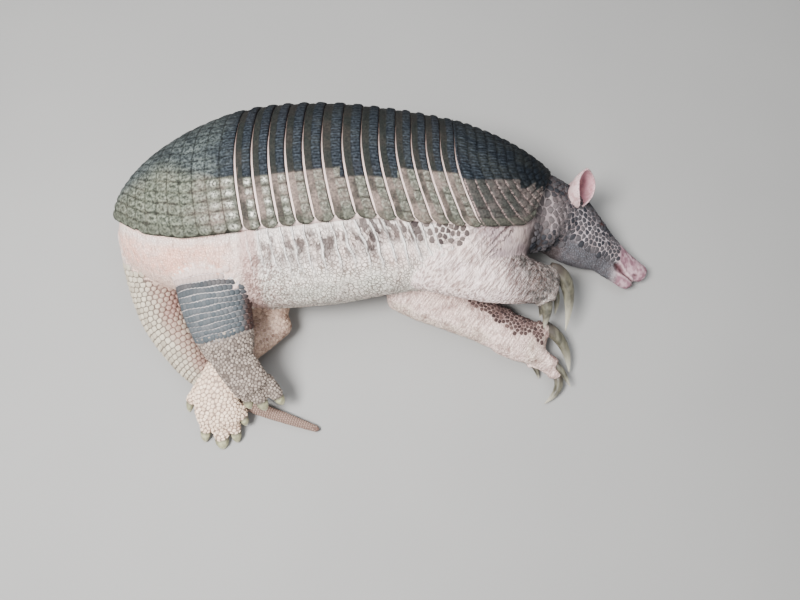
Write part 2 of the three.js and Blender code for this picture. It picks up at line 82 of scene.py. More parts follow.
def catmull(block: Array, t: Array) -> Array:
    """Reads a centripetal Catmull-Rom curve.

    Args:
        block: The curve's points, one to a row.
        t: Places along the curve, 0 at the first point and 1 at the last.

    Returns:
        One point for each place.
    """
    last = len(block) - 1
    place = np.clip(t, 0.0, 1.0) * last
    k = np.minimum(place.astype(int), last - 1)
    part = (place - k)[:, None]
    padded = np.vstack([2 * block[0] - block[1], block, 2 * block[-1] - block[-2]])
    p0, p1, p2, p3 = (padded[k + i] for i in range(4))

    def gap(a: Array, b: Array) -> Array:
        """The knot spacing between two points."""
        return ((a - b) ** 2).sum(axis=1, keepdims=True) ** 0.25

    d1 = np.maximum(gap(p1, p2), 1e-4)
    d0, d2 = (np.where(d < 1e-4, d1, d) for d in (gap(p0, p1), gap(p2, p3)))
    m1 = ((p1 - p0) / d0 - (p2 - p0) / (d0 + d1) + (p2 - p1) / d1) * d1
    m2 = ((p2 - p1) / d1 - (p3 - p1) / (d1 + d2) + (p3 - p2) / d2) * d1
    square = 3 * (p2 - p1) - 2 * m1 - m2
    cube = 2 * (p1 - p2) + m1 + m2
    return p1 + part * (m1 + part * (square + part * cube))


def spline(rows: Rows, t: Array) -> Array:
    """Reads a smooth curve through rows of numbers, three columns at a time."""
    table = np.array(rows, float)
    return np.hstack([catmull(table[:, i : i + 3], t) for i in range(0, table.shape[1], 3)])


def ease(low: float, high: float, value: Array) -> Array:
    """A smooth step from 0 at low to 1 at high."""
    share = np.clip((value - low) / (high - low), 0.0, 1.0)
    return share * share * (3 - 2 * share)


def bell(value: Array, middle: float, reach: float) -> Array:
    """A smooth bump of height 1 about a middle."""
    return np.exp(-(((value - middle) / reach) ** 2))


def bowed(value: Array, power: float) -> Array:
    """A power of the size of a value, with the value's sign."""
    return np.sign(value) * np.abs(value) ** power


def unit(vectors: Array) -> Array:
    """Vectors scaled to length 1."""
    return vectors / np.maximum(np.linalg.norm(vectors, axis=1, keepdims=True), 1e-12)


@dataclass(frozen=True)
class Grain:
    """Smooth random values in space, from -1 to 1, about one cell of a given size apart."""

    size: float
    seed: int = 0

    def at(self, points: Array) -> Array:
        """Reads the values at points."""
        cell = points / self.size
        base = np.floor(cell).astype(np.int64)
        part = cell - base
        part = part * part * (3 - 2 * part)
        total = np.zeros(len(points))
        for corner in range(8):
            step = np.array([corner & 1, (corner >> 1) & 1, corner >> 2])
            share = np.where(step, part, 1 - part).prod(axis=1)
            total += share * self.scatter(base + step)
        return total

    def scatter(self, lattice: Array) -> Array:
        """A fixed random value for each whole-numbered place."""
        mixed = lattice @ np.array([73856093, 19349663, 83492791]) + self.seed * 2654435761
        mixed = (mixed ^ (mixed >> 13)) * 1274126177
        mixed = mixed ^ (mixed >> 16)
        return (mixed & 0xFFFF) / 32767.5 - 1.0


# ---------- the body's own measures ----------


@dataclass(frozen=True)
class Space:
    """Where the body's own millimetres lie in the frame."""

    shift: Array

    @classmethod
    def from_frame(cls, eye_centre: Sequence[float]) -> "Space":
        """Finds the shift from the right eye, whose centre is known on both sides."""
        low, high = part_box("eye_right")
        return cls((np.array(low) + np.array(high)) / 2 - np.array(eye_centre) * MM)

    def to_frame(self, points: Array) -> Array:
        """Millimetres on the body's axes to metres in the frame."""
        return points * MM + self.shift

    def to_body(self, points: Array) -> Array:
        """Metres in the frame to millimetres on the body's axes."""
        return (points - self.shift) / MM


@dataclass(frozen=True)
class BodyForm:
    """The outer surface of the body: sections across a plane that leans back from the floor."""

    roll: float = math.radians(20)
    height: float = 136.5
    fall: float = 0.021
    half_width_max: float = 125.0
    sag: float = 0.6
    widest: float = 0.45
    power: float = 2.25
    margin_limit: float = 0.96
    # X, back, belly and half width
    stations: Rows = (
        (-367, -56, -70, 6),
        (-357, -32, -106, 46),
        (-331, 6, -140, 80),
        (-286, 47, -166, 104),
        (-214, 92, -190, 118),
        (-118, 126, -206, 124),
        (0, 136, -201, 125),
        (112, 127, -181, 122),
        (200, 112, -168, 115),
        (276, 87, -148, 103),
        (332, 60, -118, 84),
        (366, 36, -90, 64),
        (383, 10, -66, 40),
        (388, -14, -44, 10),
    )
    # X of the shell's lower edge and its height in the plane
    margins: Rows = (
        (-362, -46),
        (-318, -58),
        (-268, -76),
        (-205, -82),
        (-62, -64),
        (60, -50),
        (230, -62),
        (310, -58),
        (345, -34),
        (384, 8),
    )
    # X of the line where the slate back meets the pale flank, and its height in the plane
    tide: Rows = ((-330, -30), (-250, 13), (0, 17), (115, 17), (261, 9), (334, 3), (380, -20))

    def sections(self, x: Array) -> tuple[Array, Array, Array, Array]:
        """Back, belly, half width and the level of the widest point, at given X."""
        t = np.linspace(0.0, 1.0, 3000)
        table = spline(self.stations, t)
        found = np.interp(x, table[:, 0], t)
        read = spline(self.stations, np.atleast_1d(found))
        back, belly, half = read[:, 1], read[:, 2], read[:, 3]
        return back, belly, half, belly + self.widest * (back - belly)

    def placed(self, x: Array, dorsal: Array, right: Array) -> Array:
        """Turns X, height in the plane and distance to the animal's right into points."""
        c, s = math.cos(self.roll), math.sin(self.roll)
        up = self.height - self.fall * x + dorsal * s + right * c
        return np.stack([x, dorsal * c - right * s, up], axis=1)

    def in_plane(self, points: Array) -> tuple[Array, Array]:
        """Height in the plane and distance to the animal's right of points."""
        c, s = math.cos(self.roll), math.sin(self.roll)
        up = points[:, 2] - self.height + self.fall * points[:, 0]
        return points[:, 1] * c + up * s, up * c - points[:, 1] * s

    def point(self, x: Array, angle: Array) -> Array:
        """Points of the outer surface at X and an angle from the back, right side positive."""
        back, belly, half, level = self.sections(x)
        c, s = bowed(np.cos(angle), 2 / self.power), bowed(np.sin(angle), 2 / self.power)
        reach = np.where(c > 0, back - level, level - belly)
        lean = -self.sag * (self.half_width_max - half)
        return self.placed(x, level + c * reach, s * half + lean)

    def angle_of(self, points: Array) -> Array:
        """The angle from the back of points near the body."""
        dorsal, right = self.in_plane(points)
        back, belly, half, level = self.sections(points[:, 0])
        lean = -self.sag * (self.half_width_max - half)
        c = (dorsal - level) / np.where(dorsal > level, back - level, level - belly)
        s = (right - lean) / half
        return np.arctan2(bowed(s, self.power / 2), bowed(c, self.power / 2))

    def normal(self, x: Array, angle: Array) -> Array:
        """Outward normals of the surface."""
        lead = self.point(np.minimum(x + 1.5, 387.5), angle) - self.point(x - 1.5, angle)
        turn = self.point(x, angle + 0.01) - self.point(x, angle - 0.01)
        return unit(np.cross(turn, lead))

    def lifted(self, x: Array, angle: Array, lift: Array | float) -> Array:
        """Points of the surface moved out along its normal."""
        return self.point(x, angle) + self.normal(x, angle) * np.reshape(lift, (-1, 1))

    def margin(self, x: Array) -> Array:
        """The angle from the back at which the shell ends."""
        back, belly, _, level = self.sections(x)
        edge = np.interp(x, *np.array(self.margins, float).T)
        share = (edge - level) / np.where(edge > level, back - level, level - belly)
        share = np.sign(share) * np.minimum(np.abs(share), self.margin_limit) ** (self.power / 2)
        return np.arccos(share)

    def tide_angle(self, x: Array) -> Array:
        """The angle from the back at which the slate colour ends."""
        back, _, _, level = self.sections(x)
        line = np.interp(x, *np.array(self.tide, float).T)
        share = np.clip((line - level) / np.maximum(back - level, 1.0), -0.9, 0.98)
        return np.arccos(bowed(share, self.power / 2))


@dataclass
class Girth:
    """Lengths along the body's sections, from the back down, in a table of X and angle."""

    body: BodyForm
    xs: Array = field(default_factory=lambda: np.linspace(-366.0, 386.0, 170))
    angles: Array = field(default_factory=lambda: np.linspace(0.0, 2.4, 150))

    def __post_init__(self) -> None:
        """Measures the table."""
        x, angle = np.meshgrid(self.xs, self.angles, indexing="ij")
        points = self.body.point(x.ravel(), angle.ravel()).reshape(*x.shape, 3)
        steps = np.linalg.norm(np.diff(points, axis=1), axis=2)
        self.table = np.hstack([np.zeros((len(self.xs), 1)), np.cumsum(steps, axis=1)])

    def length(self, x: Array, angle: Array) -> Array:
        """The length from the back down to an angle, at X."""
        i = np.clip((x - self.xs[0]) / (self.xs[1] - self.xs[0]), 0, len(self.xs) - 1.001)
        j = np.clip(np.abs(angle) / (self.angles[1] - self.angles[0]), 0, len(self.angles) - 1.001)
        a, b = i.astype(int), j.astype(int)
        p, q = i - a, j - b
        t = self.table
        near = t[a, b] * (1 - q) + t[a, b + 1] * q
        far = t[a + 1, b] * (1 - q) + t[a + 1, b + 1] * q
        return near * (1 - p) + far * p

    def rise(self, x: Array, angle: Array) -> Array:
        """The length up the side from the shell's margin to an angle, at X."""
        return self.length(x, self.body.margin(x)) - self.length(x, angle)


# ---------- mesh making ----------


def make_object(name: str, mesh: bpy.types.Mesh) -> bpy.types.Object:
    """Links a mesh to the scene as a smooth-shaded object at the origin."""
    mesh.name = name
    mesh.shade_smooth()
    thing = bpy.data.objects.new(name, mesh)
    bpy.context.scene.collection.objects.link(thing)
    return thing


def points_of(mesh: bpy.types.Mesh) -> Array:
    """The mesh's points as rows."""
    flat = np.empty(len(mesh.vertices) * 3, np.float32)
    mesh.vertices.foreach_get("co", flat)
    return flat.reshape(-1, 3).astype(float)


def set_points(mesh: bpy.types.Mesh, points: Array) -> None:
    """Moves all of the mesh's points."""
    mesh.vertices.foreach_set("co", points.astype(np.float32).ravel())
    mesh.update()


def normals_of(mesh: bpy.types.Mesh) -> Array:
    """The mesh's point normals as rows."""
    flat = np.empty(len(mesh.vertices) * 3, np.float32)
    mesh.vertices.foreach_get("normal", flat)
    return flat.reshape(-1, 3).astype(float)


def set_values(mesh: bpy.types.Mesh, name: str, values: Array) -> None:
    """Stores a number for each point of a mesh, for its material to read."""
    layer = mesh.attributes.get(name) or mesh.attributes.new(name, "FLOAT", "POINT")
    layer.data.foreach_set("value", values.astype(np.float32))


def set_tint(mesh: bpy.types.Mesh, name: str, colours: Array) -> None:
    """Stores a colour for each point of a mesh, for its material to read."""
    layer = mesh.attributes.get(name) or mesh.attributes.new(name, "FLOAT_COLOR", "POINT")
    full = np.hstack([colours, np.ones((len(colours), 1))])
    layer.data.foreach_set("color", full.astype(np.float32).ravel())


def sleeve(around: int, along: int) -> tuple[bpy.types.Mesh, Array, Array]:
    """Makes a closed tube with both ends filled, to be shaped by moving its points.

    Args:
        around: Points around the tube.
        along: Spans from end to end.

    Returns:
        The mesh, and for each point how far around and how far along it lies, from 0 to 1.
    """
    bm = bmesh.new()
    bmesh.ops.create_cone(
        bm, cap_ends=True, segments=around, radius1=1.0, radius2=1.0, depth=1.0
    )
    upright = [e for e in bm.edges if abs(e.verts[0].co.z - e.verts[1].co.z) > 0.5]
    if along > 1:
        bmesh.ops.subdivide_edges(bm, edges=upright, cuts=along - 1, use_grid_fill=True)
    bmesh.ops.recalc_face_normals(bm, faces=bm.faces)
    mesh = bpy.data.meshes.new("sleeve")
    bm.to_mesh(mesh)
    bm.free()
    place = points_of(mesh)
    turn = np.arctan2(place[:, 1], place[:, 0]) / (2 * math.pi)
    return mesh, np.mod(turn + 1e-6, 1.0), np.clip(place[:, 2] + 0.5, 0.0, 1.0)


def sheet(top_spans: int, under_spans: int, along: int) -> tuple[bpy.types.Mesh, Array, Array, Array]:
    """Makes a flat closed sleeve, to be shaped as a plate with an upper and an under side.

    Args:
        top_spans: Spans across the upper side.
        under_spans: Spans across the under side.
        along: Spans from end to end.

    Returns:
        The mesh, and for each point its share across, its place along from -1 to 1, and whether
        it is on the upper side.
    """
    around = top_spans + under_spans + 2
    mesh, turn, length = sleeve(around, along)
    slot = np.rint(turn * around).astype(int) % around
    top = slot <= top_spans
    u = np.where(top, slot / top_spans, 1 - (slot - top_spans - 1) / under_spans)
    return mesh, u, length * 2 - 1, top


def face_out(mesh: bpy.types.Mesh) -> None:
    """Turns the faces of a closed mesh outwards."""
    bm = bmesh.new()
    bm.from_mesh(mesh)
    bmesh.ops.recalc_face_normals(bm, faces=bm.faces)
    if bm.calc_volume(signed=True) < 0:
        bmesh.ops.reverse_faces(bm, faces=bm.faces)
    bm.to_mesh(mesh)
    bm.free()


def tree_of(points: Array) -> KDTree:
    """A tree that finds the nearest of some points."""
    tree = KDTree(len(points))
    for i, point in enumerate(points):
        tree.insert(point, i)
    tree.balance()
    return tree


def edges_of(mesh: bpy.types.Mesh) -> Array:
    """The mesh's edges as pairs of point numbers."""
    flat = np.empty(len(mesh.edges) * 2, np.int32)
    mesh.edges.foreach_get("vertices", flat)
    return flat.reshape(-1, 2)


def relax(points: Array, edges: Array, weight: Array, rounds: int) -> Array:
    """Moves points towards the middle of their neighbours, round after round."""
    count = np.maximum(np.bincount(edges.ravel(), minlength=len(points)), 1)[:, None]
    share = np.reshape(weight, (-1, 1))
    for _ in range(rounds):
        total = np.zeros_like(points)
        for axis in range(3):
            for a, b in ((0, 1), (1, 0)):
                total[:, axis] += np.bincount(
                    edges[:, a], weights=points[edges[:, b], axis], minlength=len(points)
                )
        points = points + share * (total / count - points)
    return points


# ---------- shader maths ----------


class Sock:
    """A number in a material that takes part in sums."""

    def __init__(self, shader: "Shader", socket: bpy.types.NodeSocket) -> None:
        """Keeps the socket and the material that it belongs to."""
        self.shader = shader
        self.socket = socket

    def __add__(self, other: "Sock | float") -> "Sock":
        """The sum."""
        return self.shader.maths("ADD", self, other)

    def __sub__(self, other: "Sock | float") -> "Sock":
        """The difference."""
        return self.shader.maths("SUBTRACT", self, other)

    def __rsub__(self, other: float) -> "Sock":
        """The difference, the other way round."""
        return self.shader.maths("SUBTRACT", other, self)

    def __mul__(self, other: "Sock | float") -> "Sock":
        """The product."""
        return self.shader.maths("MULTIPLY", self, other)

    __radd__ = __add__
    __rmul__ = __mul__

    def astray(self) -> "Sock":
        """How far it is from the nearest whole number."""
        return self.shader.maths("PINGPONG", self, 0.5)

    def step(self, low: float, high: float) -> "Sock":
        """A smooth step from 0 at low to 1 at high, or down where low is above high."""
        node = self.shader.node(
            "ShaderNodeMapRange",
            {"interpolation_type": "SMOOTHSTEP"},
            {"Value": self, "From Min": min(low, high), "From Max": max(low, high)},
        )
        rise = Sock(self.shader, node.outputs["Result"])
        return rise if low < high else 1.0 - rise


class Shader:
    """A material that is built up from node expressions."""

    def __init__(self, name: str) -> None:
        """Starts a material with one surface shader."""
        self.material = bpy.data.materials.new(name)
        self.material.use_nodes = True
        self.tree = self.material.node_tree
        self.surface = self.tree.nodes["Principled BSDF"]

    def node(self, kind: str, settings: dict | None = None, inputs: dict | None = None) -> bpy.types.Node:
        """Adds a node.

        Args:
            kind: The node's type.
            settings: The node's own properties, which are set first.
            inputs: Values or links of its sockets, by name or number.

        Returns:
            The node.
        """
        node = self.tree.nodes.new(kind)
        for key, value in (settings or {}).items():
            setattr(node, key, value)
        for key, value in (inputs or {}).items():
            self.feed(node.inputs[key], value)
        return node

    def feed(self, socket: bpy.types.NodeSocket, value: "Sock | float | Sequence[float]") -> None:
        """Sets or links one socket."""
        if isinstance(value, Sock):
            self.tree.links.new(value.socket, socket)
        elif isinstance(value, tuple) and len(value) == 3 and socket.type == "RGBA":
            socket.default_value = (*value, 1.0)
        else:
            socket.default_value = value

    def maths(self, operation: str, a: "Sock | float", b: "Sock | float") -> Sock:
        """Adds a Math node."""
        node = self.node("ShaderNodeMath", {"operation": operation}, {0: a, 1: b})
        return Sock(self, node.outputs[0])

    def mix(self, factor: "Sock | float", a: "Sock | Colour", b: "Sock | Colour", blend: str = "MIX") -> Sock:
        """Mixes two colours."""
        node = self.node("ShaderNodeMix", {"data_type": "RGBA", "blend_type": blend, "clamp_factor": True})
        self.feed(node.inputs[0], factor)
        self.feed(node.inputs[6], a)
        self.feed(node.inputs[7], b)
        return Sock(self, node.outputs[2])

    def times(self, colour: Sock, tint: Colour) -> Sock:
        """A colour multiplied by another."""
        return self.mix(1.0, colour, tint, "MULTIPLY")

    def value(self, name: str) -> Sock:
        """Reads a number stored on the mesh."""
        return Sock(self, self.node("ShaderNodeAttribute", {"attribute_name": name}).outputs["Fac"])

    def tint(self, name: str) -> Sock:
        """Reads a colour stored on the mesh."""
        return Sock(self, self.node("ShaderNodeAttribute", {"attribute_name": name}).outputs["Color"])

    def place(self, stretch: Colour = (1.0, 1.0, 1.0), turn: Colour = (0.0, 0.0, 0.0)) -> Sock:
        """Object coordinates, turned and then stretched."""
        source = Sock(self, self.node("ShaderNodeTexCoord").outputs["Object"])
        turned = self.node("ShaderNodeMapping", {}, {"Vector": source, "Rotation": turn})
        vector = Sock(self, turned.outputs["Vector"])
        node = self.node("ShaderNodeMapping", {}, {"Vector": vector, "Scale": stretch})
        return Sock(self, node.outputs["Vector"])

    def flow(self, name: str, stretch: Sequence[float]) -> Sock:
        """Coordinates stored on the mesh, stretched."""
        source = Sock(self, self.node("ShaderNodeAttribute", {"attribute_name": name}).outputs["Vector"])
        node = self.node("ShaderNodeMapping", {}, {"Vector": source, "Scale": stretch})
        return Sock(self, node.outputs["Vector"])

    def noise(self, scale: float, detail: float = 2.0, place: Sock | None = None) -> Sock:
        """Soft noise of a given scale per metre, about 0.5."""
        node = self.node(
            "ShaderNodeTexNoise", {}, {"Vector": place or self.place(), "Scale": scale, "Detail": detail}
        )
        return Sock(self, node.outputs["Fac"])

    def cells(self, scale: float, feature: str = "F1", place: Sock | None = None) -> Sock:
        """Distances in a cell pattern of a given scale per metre."""
        node = self.node(
            "ShaderNodeTexVoronoi", {"feature": feature}, {"Vector": place or self.place(), "Scale": scale}
        )
        return Sock(self, node.outputs["Distance"])

    def finish(
        self,
        colour: "Sock | Colour",
        roughness: "Sock | float",
        height: Sock | None = None,
        depth: float = 0.0005,
        constants: dict | None = None,
    ) -> bpy.types.Material:
        """Feeds the surface.

        Args:
            colour: The base colour.
            roughness: The roughness.
            height: What the surface's fine relief follows, if anything.
            depth: The relief's depth in metres.
            constants: Values of the surface's other sockets.

        Returns:
            The material.
        """
        self.feed(self.surface.inputs["Base Color"], colour)
        self.feed(self.surface.inputs["Roughness"], roughness)
        if height is not None:
            bump = self.node("ShaderNodeBump", {}, {"Height": height, "Distance": depth, "Strength": 1.0})
            self.feed(self.surface.inputs["Normal"], Sock(self, bump.outputs["Normal"]))
        for key, value in (constants or {}).items():
            self.feed(self.surface.inputs[key], value)
        return self.material


# ---------- finishes ----------


@dataclass(frozen=True)
class ShellFinish:
    """Horny scutes: slate on the back, tan and grey-green on the flank, brown in the joints."""

    name: str = "shell_scutes"
    slate: Colour = (0.0045, 0.0068, 0.0105)
    slate_light: Colour = (0.052, 0.064, 0.082)
    olive: Colour = (0.018, 0.020, 0.018)
    purple: Colour = (0.014, 0.012, 0.016)
    flank: Colour = (0.104, 0.104, 0.086)
    # Pale colour of the painted highlights in the scutes' centres.
    flank_highlight: Colour = (0.72, 0.71, 0.65)
    tan: Colour = (0.215, 0.160, 0.142)
    umber: Colour = (0.036, 0.029, 0.026)
    joint_dark: Colour = (0.003, 0.003, 0.0035)
    joint_flank: Colour = (0.014, 0.010, 0.009)
    seam: Colour = (0.42, 0.30, 0.29)

    def make(self) -> bpy.types.Material:
        """Builds the material."""
        s = Shader(self.name)
        slate, joint, strip = s.value("slate"), s.value("joint"), s.value("strip")
        tone, centre, comb = s.value("tone"), s.value("centre"), s.value("comb")
        front, back = s.value("front"), s.value("back")
        mottle = s.noise(30.0, 3.0)
        patch = s.noise(9.0, 2.0)
        speck = s.noise(300.0, 3.0)
        flank = s.mix(mottle.step(0.38, 0.66), self.flank, self.tan)
        flank = s.mix(tone.step(-1.0, 1.0) * 0.5, flank, (0.066, 0.074, 0.060))
        # Pale rings round the scutes' domes: painted highlight.
        flank = s.mix(s.value("ring") * speck.step(0.35, 0.6) * 0.75, flank, (0.27, 0.275, 0.235))
        # Pale spots in the scutes' centres: painted highlight.
        pale = centre.step(0.1, 0.8) * speck.step(0.3, 0.6) * (0.55 + 0.45 * tone.step(-0.8, 0.8))
        flank = s.mix(pale, flank, self.flank_highlight)
        brown = s.mix(mottle.step(0.35, 0.65), (0.032, 0.032, 0.032), (0.062, 0.052, 0.052))
        flank = s.mix(s.value("warm") * 0.85, flank, brown)
        dull = s.mix(speck.step(0.4, 0.6), (0.035, 0.041, 0.031), (0.092, 0.102, 0.078))
        # Pale rings round the scutes' domes: painted highlight.
        dull = s.mix(s.value("ring") * 0.6, dull, (0.21, 0.23, 0.185))
        flank = s.mix(s.value("rump") * 0.85, flank, dull)
        flank = s.mix(joint * 0.85, flank, self.joint_flank)
        flank = s.mix(s.value("seam") * speck.step(0.3, 0.55) * 0.85, flank, self.seam)
        flank = s.mix(strip * 0.85, flank, s.mix(mottle.step(0.35, 0.65), self.umber, self.tan))
        blot = s.mix(patch.step(0.4, 0.6), self.olive, self.purple)
        dorsal = s.mix(mottle.step(0.38, 0.62) * 0.65, self.slate, blot)
        # Pale rings round the scutes' domes: painted highlight.
        dorsal = s.mix(s.value("ring") * speck.step(0.4, 0.62) * 0.5, dorsal, self.slate_light)
        dorsal = s.mix(comb * 0.8, dorsal, self.slate_light)
        dorsal = s.mix(joint * 0.7, dorsal, self.joint_dark)
        ash = s.mix(speck.step(0.38, 0.62), (0.028, 0.034, 0.036), (0.082, 0.098, 0.096))
        # Pale rings round the scutes' domes: painted highlight.
        ash = s.mix(s.value("ring") * 0.5, ash, (0.155, 0.180, 0.185))
        dorsal = s.mix(s.value("ash") * (0.45 + 0.55 * mottle.step(0.35, 0.65)), dorsal, ash)
        dorsal = s.mix(joint * s.value("ash") * 0.9, dorsal, (0.008, 0.008, 0.008))
        dorsal = s.mix(strip * 0.9, dorsal, s.mix(mottle.step(0.4, 0.7) * 0.6, self.olive, self.umber))
        colour = s.mix(slate, flank, dorsal)
        # Darker towards the spine: painted shade.
        colour = s.mix(back * 0.6, colour, (0.0055, 0.0060, 0.0068))
        colour = s.mix(s.value("hem") * 0.45, colour, (0.065, 0.068, 0.052))
        # A dark line along the front edge of the bands' scutes: painted shadow of the proud edge.
        colour = s.mix(front * (0.35 + 0.5 * slate), colour, (0.006, 0.005, 0.007))
        colour = s.mix(speck.step(0.42, 0.68) * 0.55, colour, s.times(colour, (1.9, 1.85, 1.75)))
        colour = s.mix(speck.step(0.5, 0.3) * 0.45, colour, s.times(colour, (0.4, 0.38, 0.38)))
        colour = s.times(colour, (0.88, 0.90, 0.90))
        rough = 0.56 + 0.2 * speck + 0.1 * joint
        height = speck + 0.7 * s.noise(900.0, 2.0)
        return s.finish(colour, rough, height, 0.0009, {"Specular IOR Level": 0.13})


@dataclass(frozen=True)
class HingeFinish:
    """Pink folded skin between the bands, darkened towards the spine by painted shade."""

    name: str = "hinge_skin"
    pink: Colour = (0.84, 0.66, 0.62)
    dark: Colour = (0.10, 0.062, 0.05)

    def make(self) -> bpy.types.Material:
        """Builds the material."""
        s = Shader(self.name)
        grain = s.noise(420.0, 3.0)
        # Darker towards the spine: painted shade.
        colour = s.mix(s.value("back") * 0.92, self.pink, self.dark)
        colour = s.mix(s.value("fold").step(0.1, -0.7) * 0.35, colour, (0.42, 0.27, 0.25))
        return s.finish(colour, 0.55 + 0.1 * grain, grain, 0.0006, {"Specular IOR Level": 0.25})


# ---------- the shell ----------


@dataclass(frozen=True)
class Sweep:
    """The line of a band's edge: square across the back, swept forward down the sides."""

    start: float = -128.0
    length: float = 330.0
    rear: float = 13.0
    front: float = 31.0
    begins: float = 0.9
    limit: float = 1.2
    fan: float = 0.34

    def bend(self, angle: Array) -> Array:
        """How far the edges are swept at an angle from the back, from 0."""
        past = np.maximum(0.0, np.abs(angle) - self.begins) / (math.pi / 2 - self.begins)
        return np.minimum(past, self.limit) ** 2

    def at(self, x: float, angle: Array) -> Array:
        """X of an edge that crosses the back at x, at an angle from the back."""
        share = min(max((x - self.start) / self.length, 0.0), 1.0)
        reach = self.rear + (self.front - self.rear) * share
        return x + reach * self.bend(angle)

    def back(self, x: Array, angle: Array) -> Array:
        """X on the back of the joints of the front shield, which fan out ahead of the bands."""
        last, bend = self.start + self.length, self.bend(angle)
        return last + (x - last - self.front * bend) / (1 + self.fan * bend)


@dataclass(frozen=True)
class ScutePlan:
    """How a plate of the shell is divided into rows of scutes, from rear to front.

    The rows have edges as shares of the plate, or one pitch on the back where pitch isn't 0.
    """

    rows: tuple[float, ...]
    flank_pitch: float
    back_pitch: float
    hem_pitch: float
    strip: float
    brick: float
    notch: float
    relief: float
    # How strongly painted shadow darkens the rows' front edge.
    front: float = 0.0
    comb: tuple[float, float] = (-1.0, 0.0)
    # How strongly the painted highlights show in the scutes' centres.
    pale: float = 1.0
    warm: float = 0.0
    pitch: float = 0.0


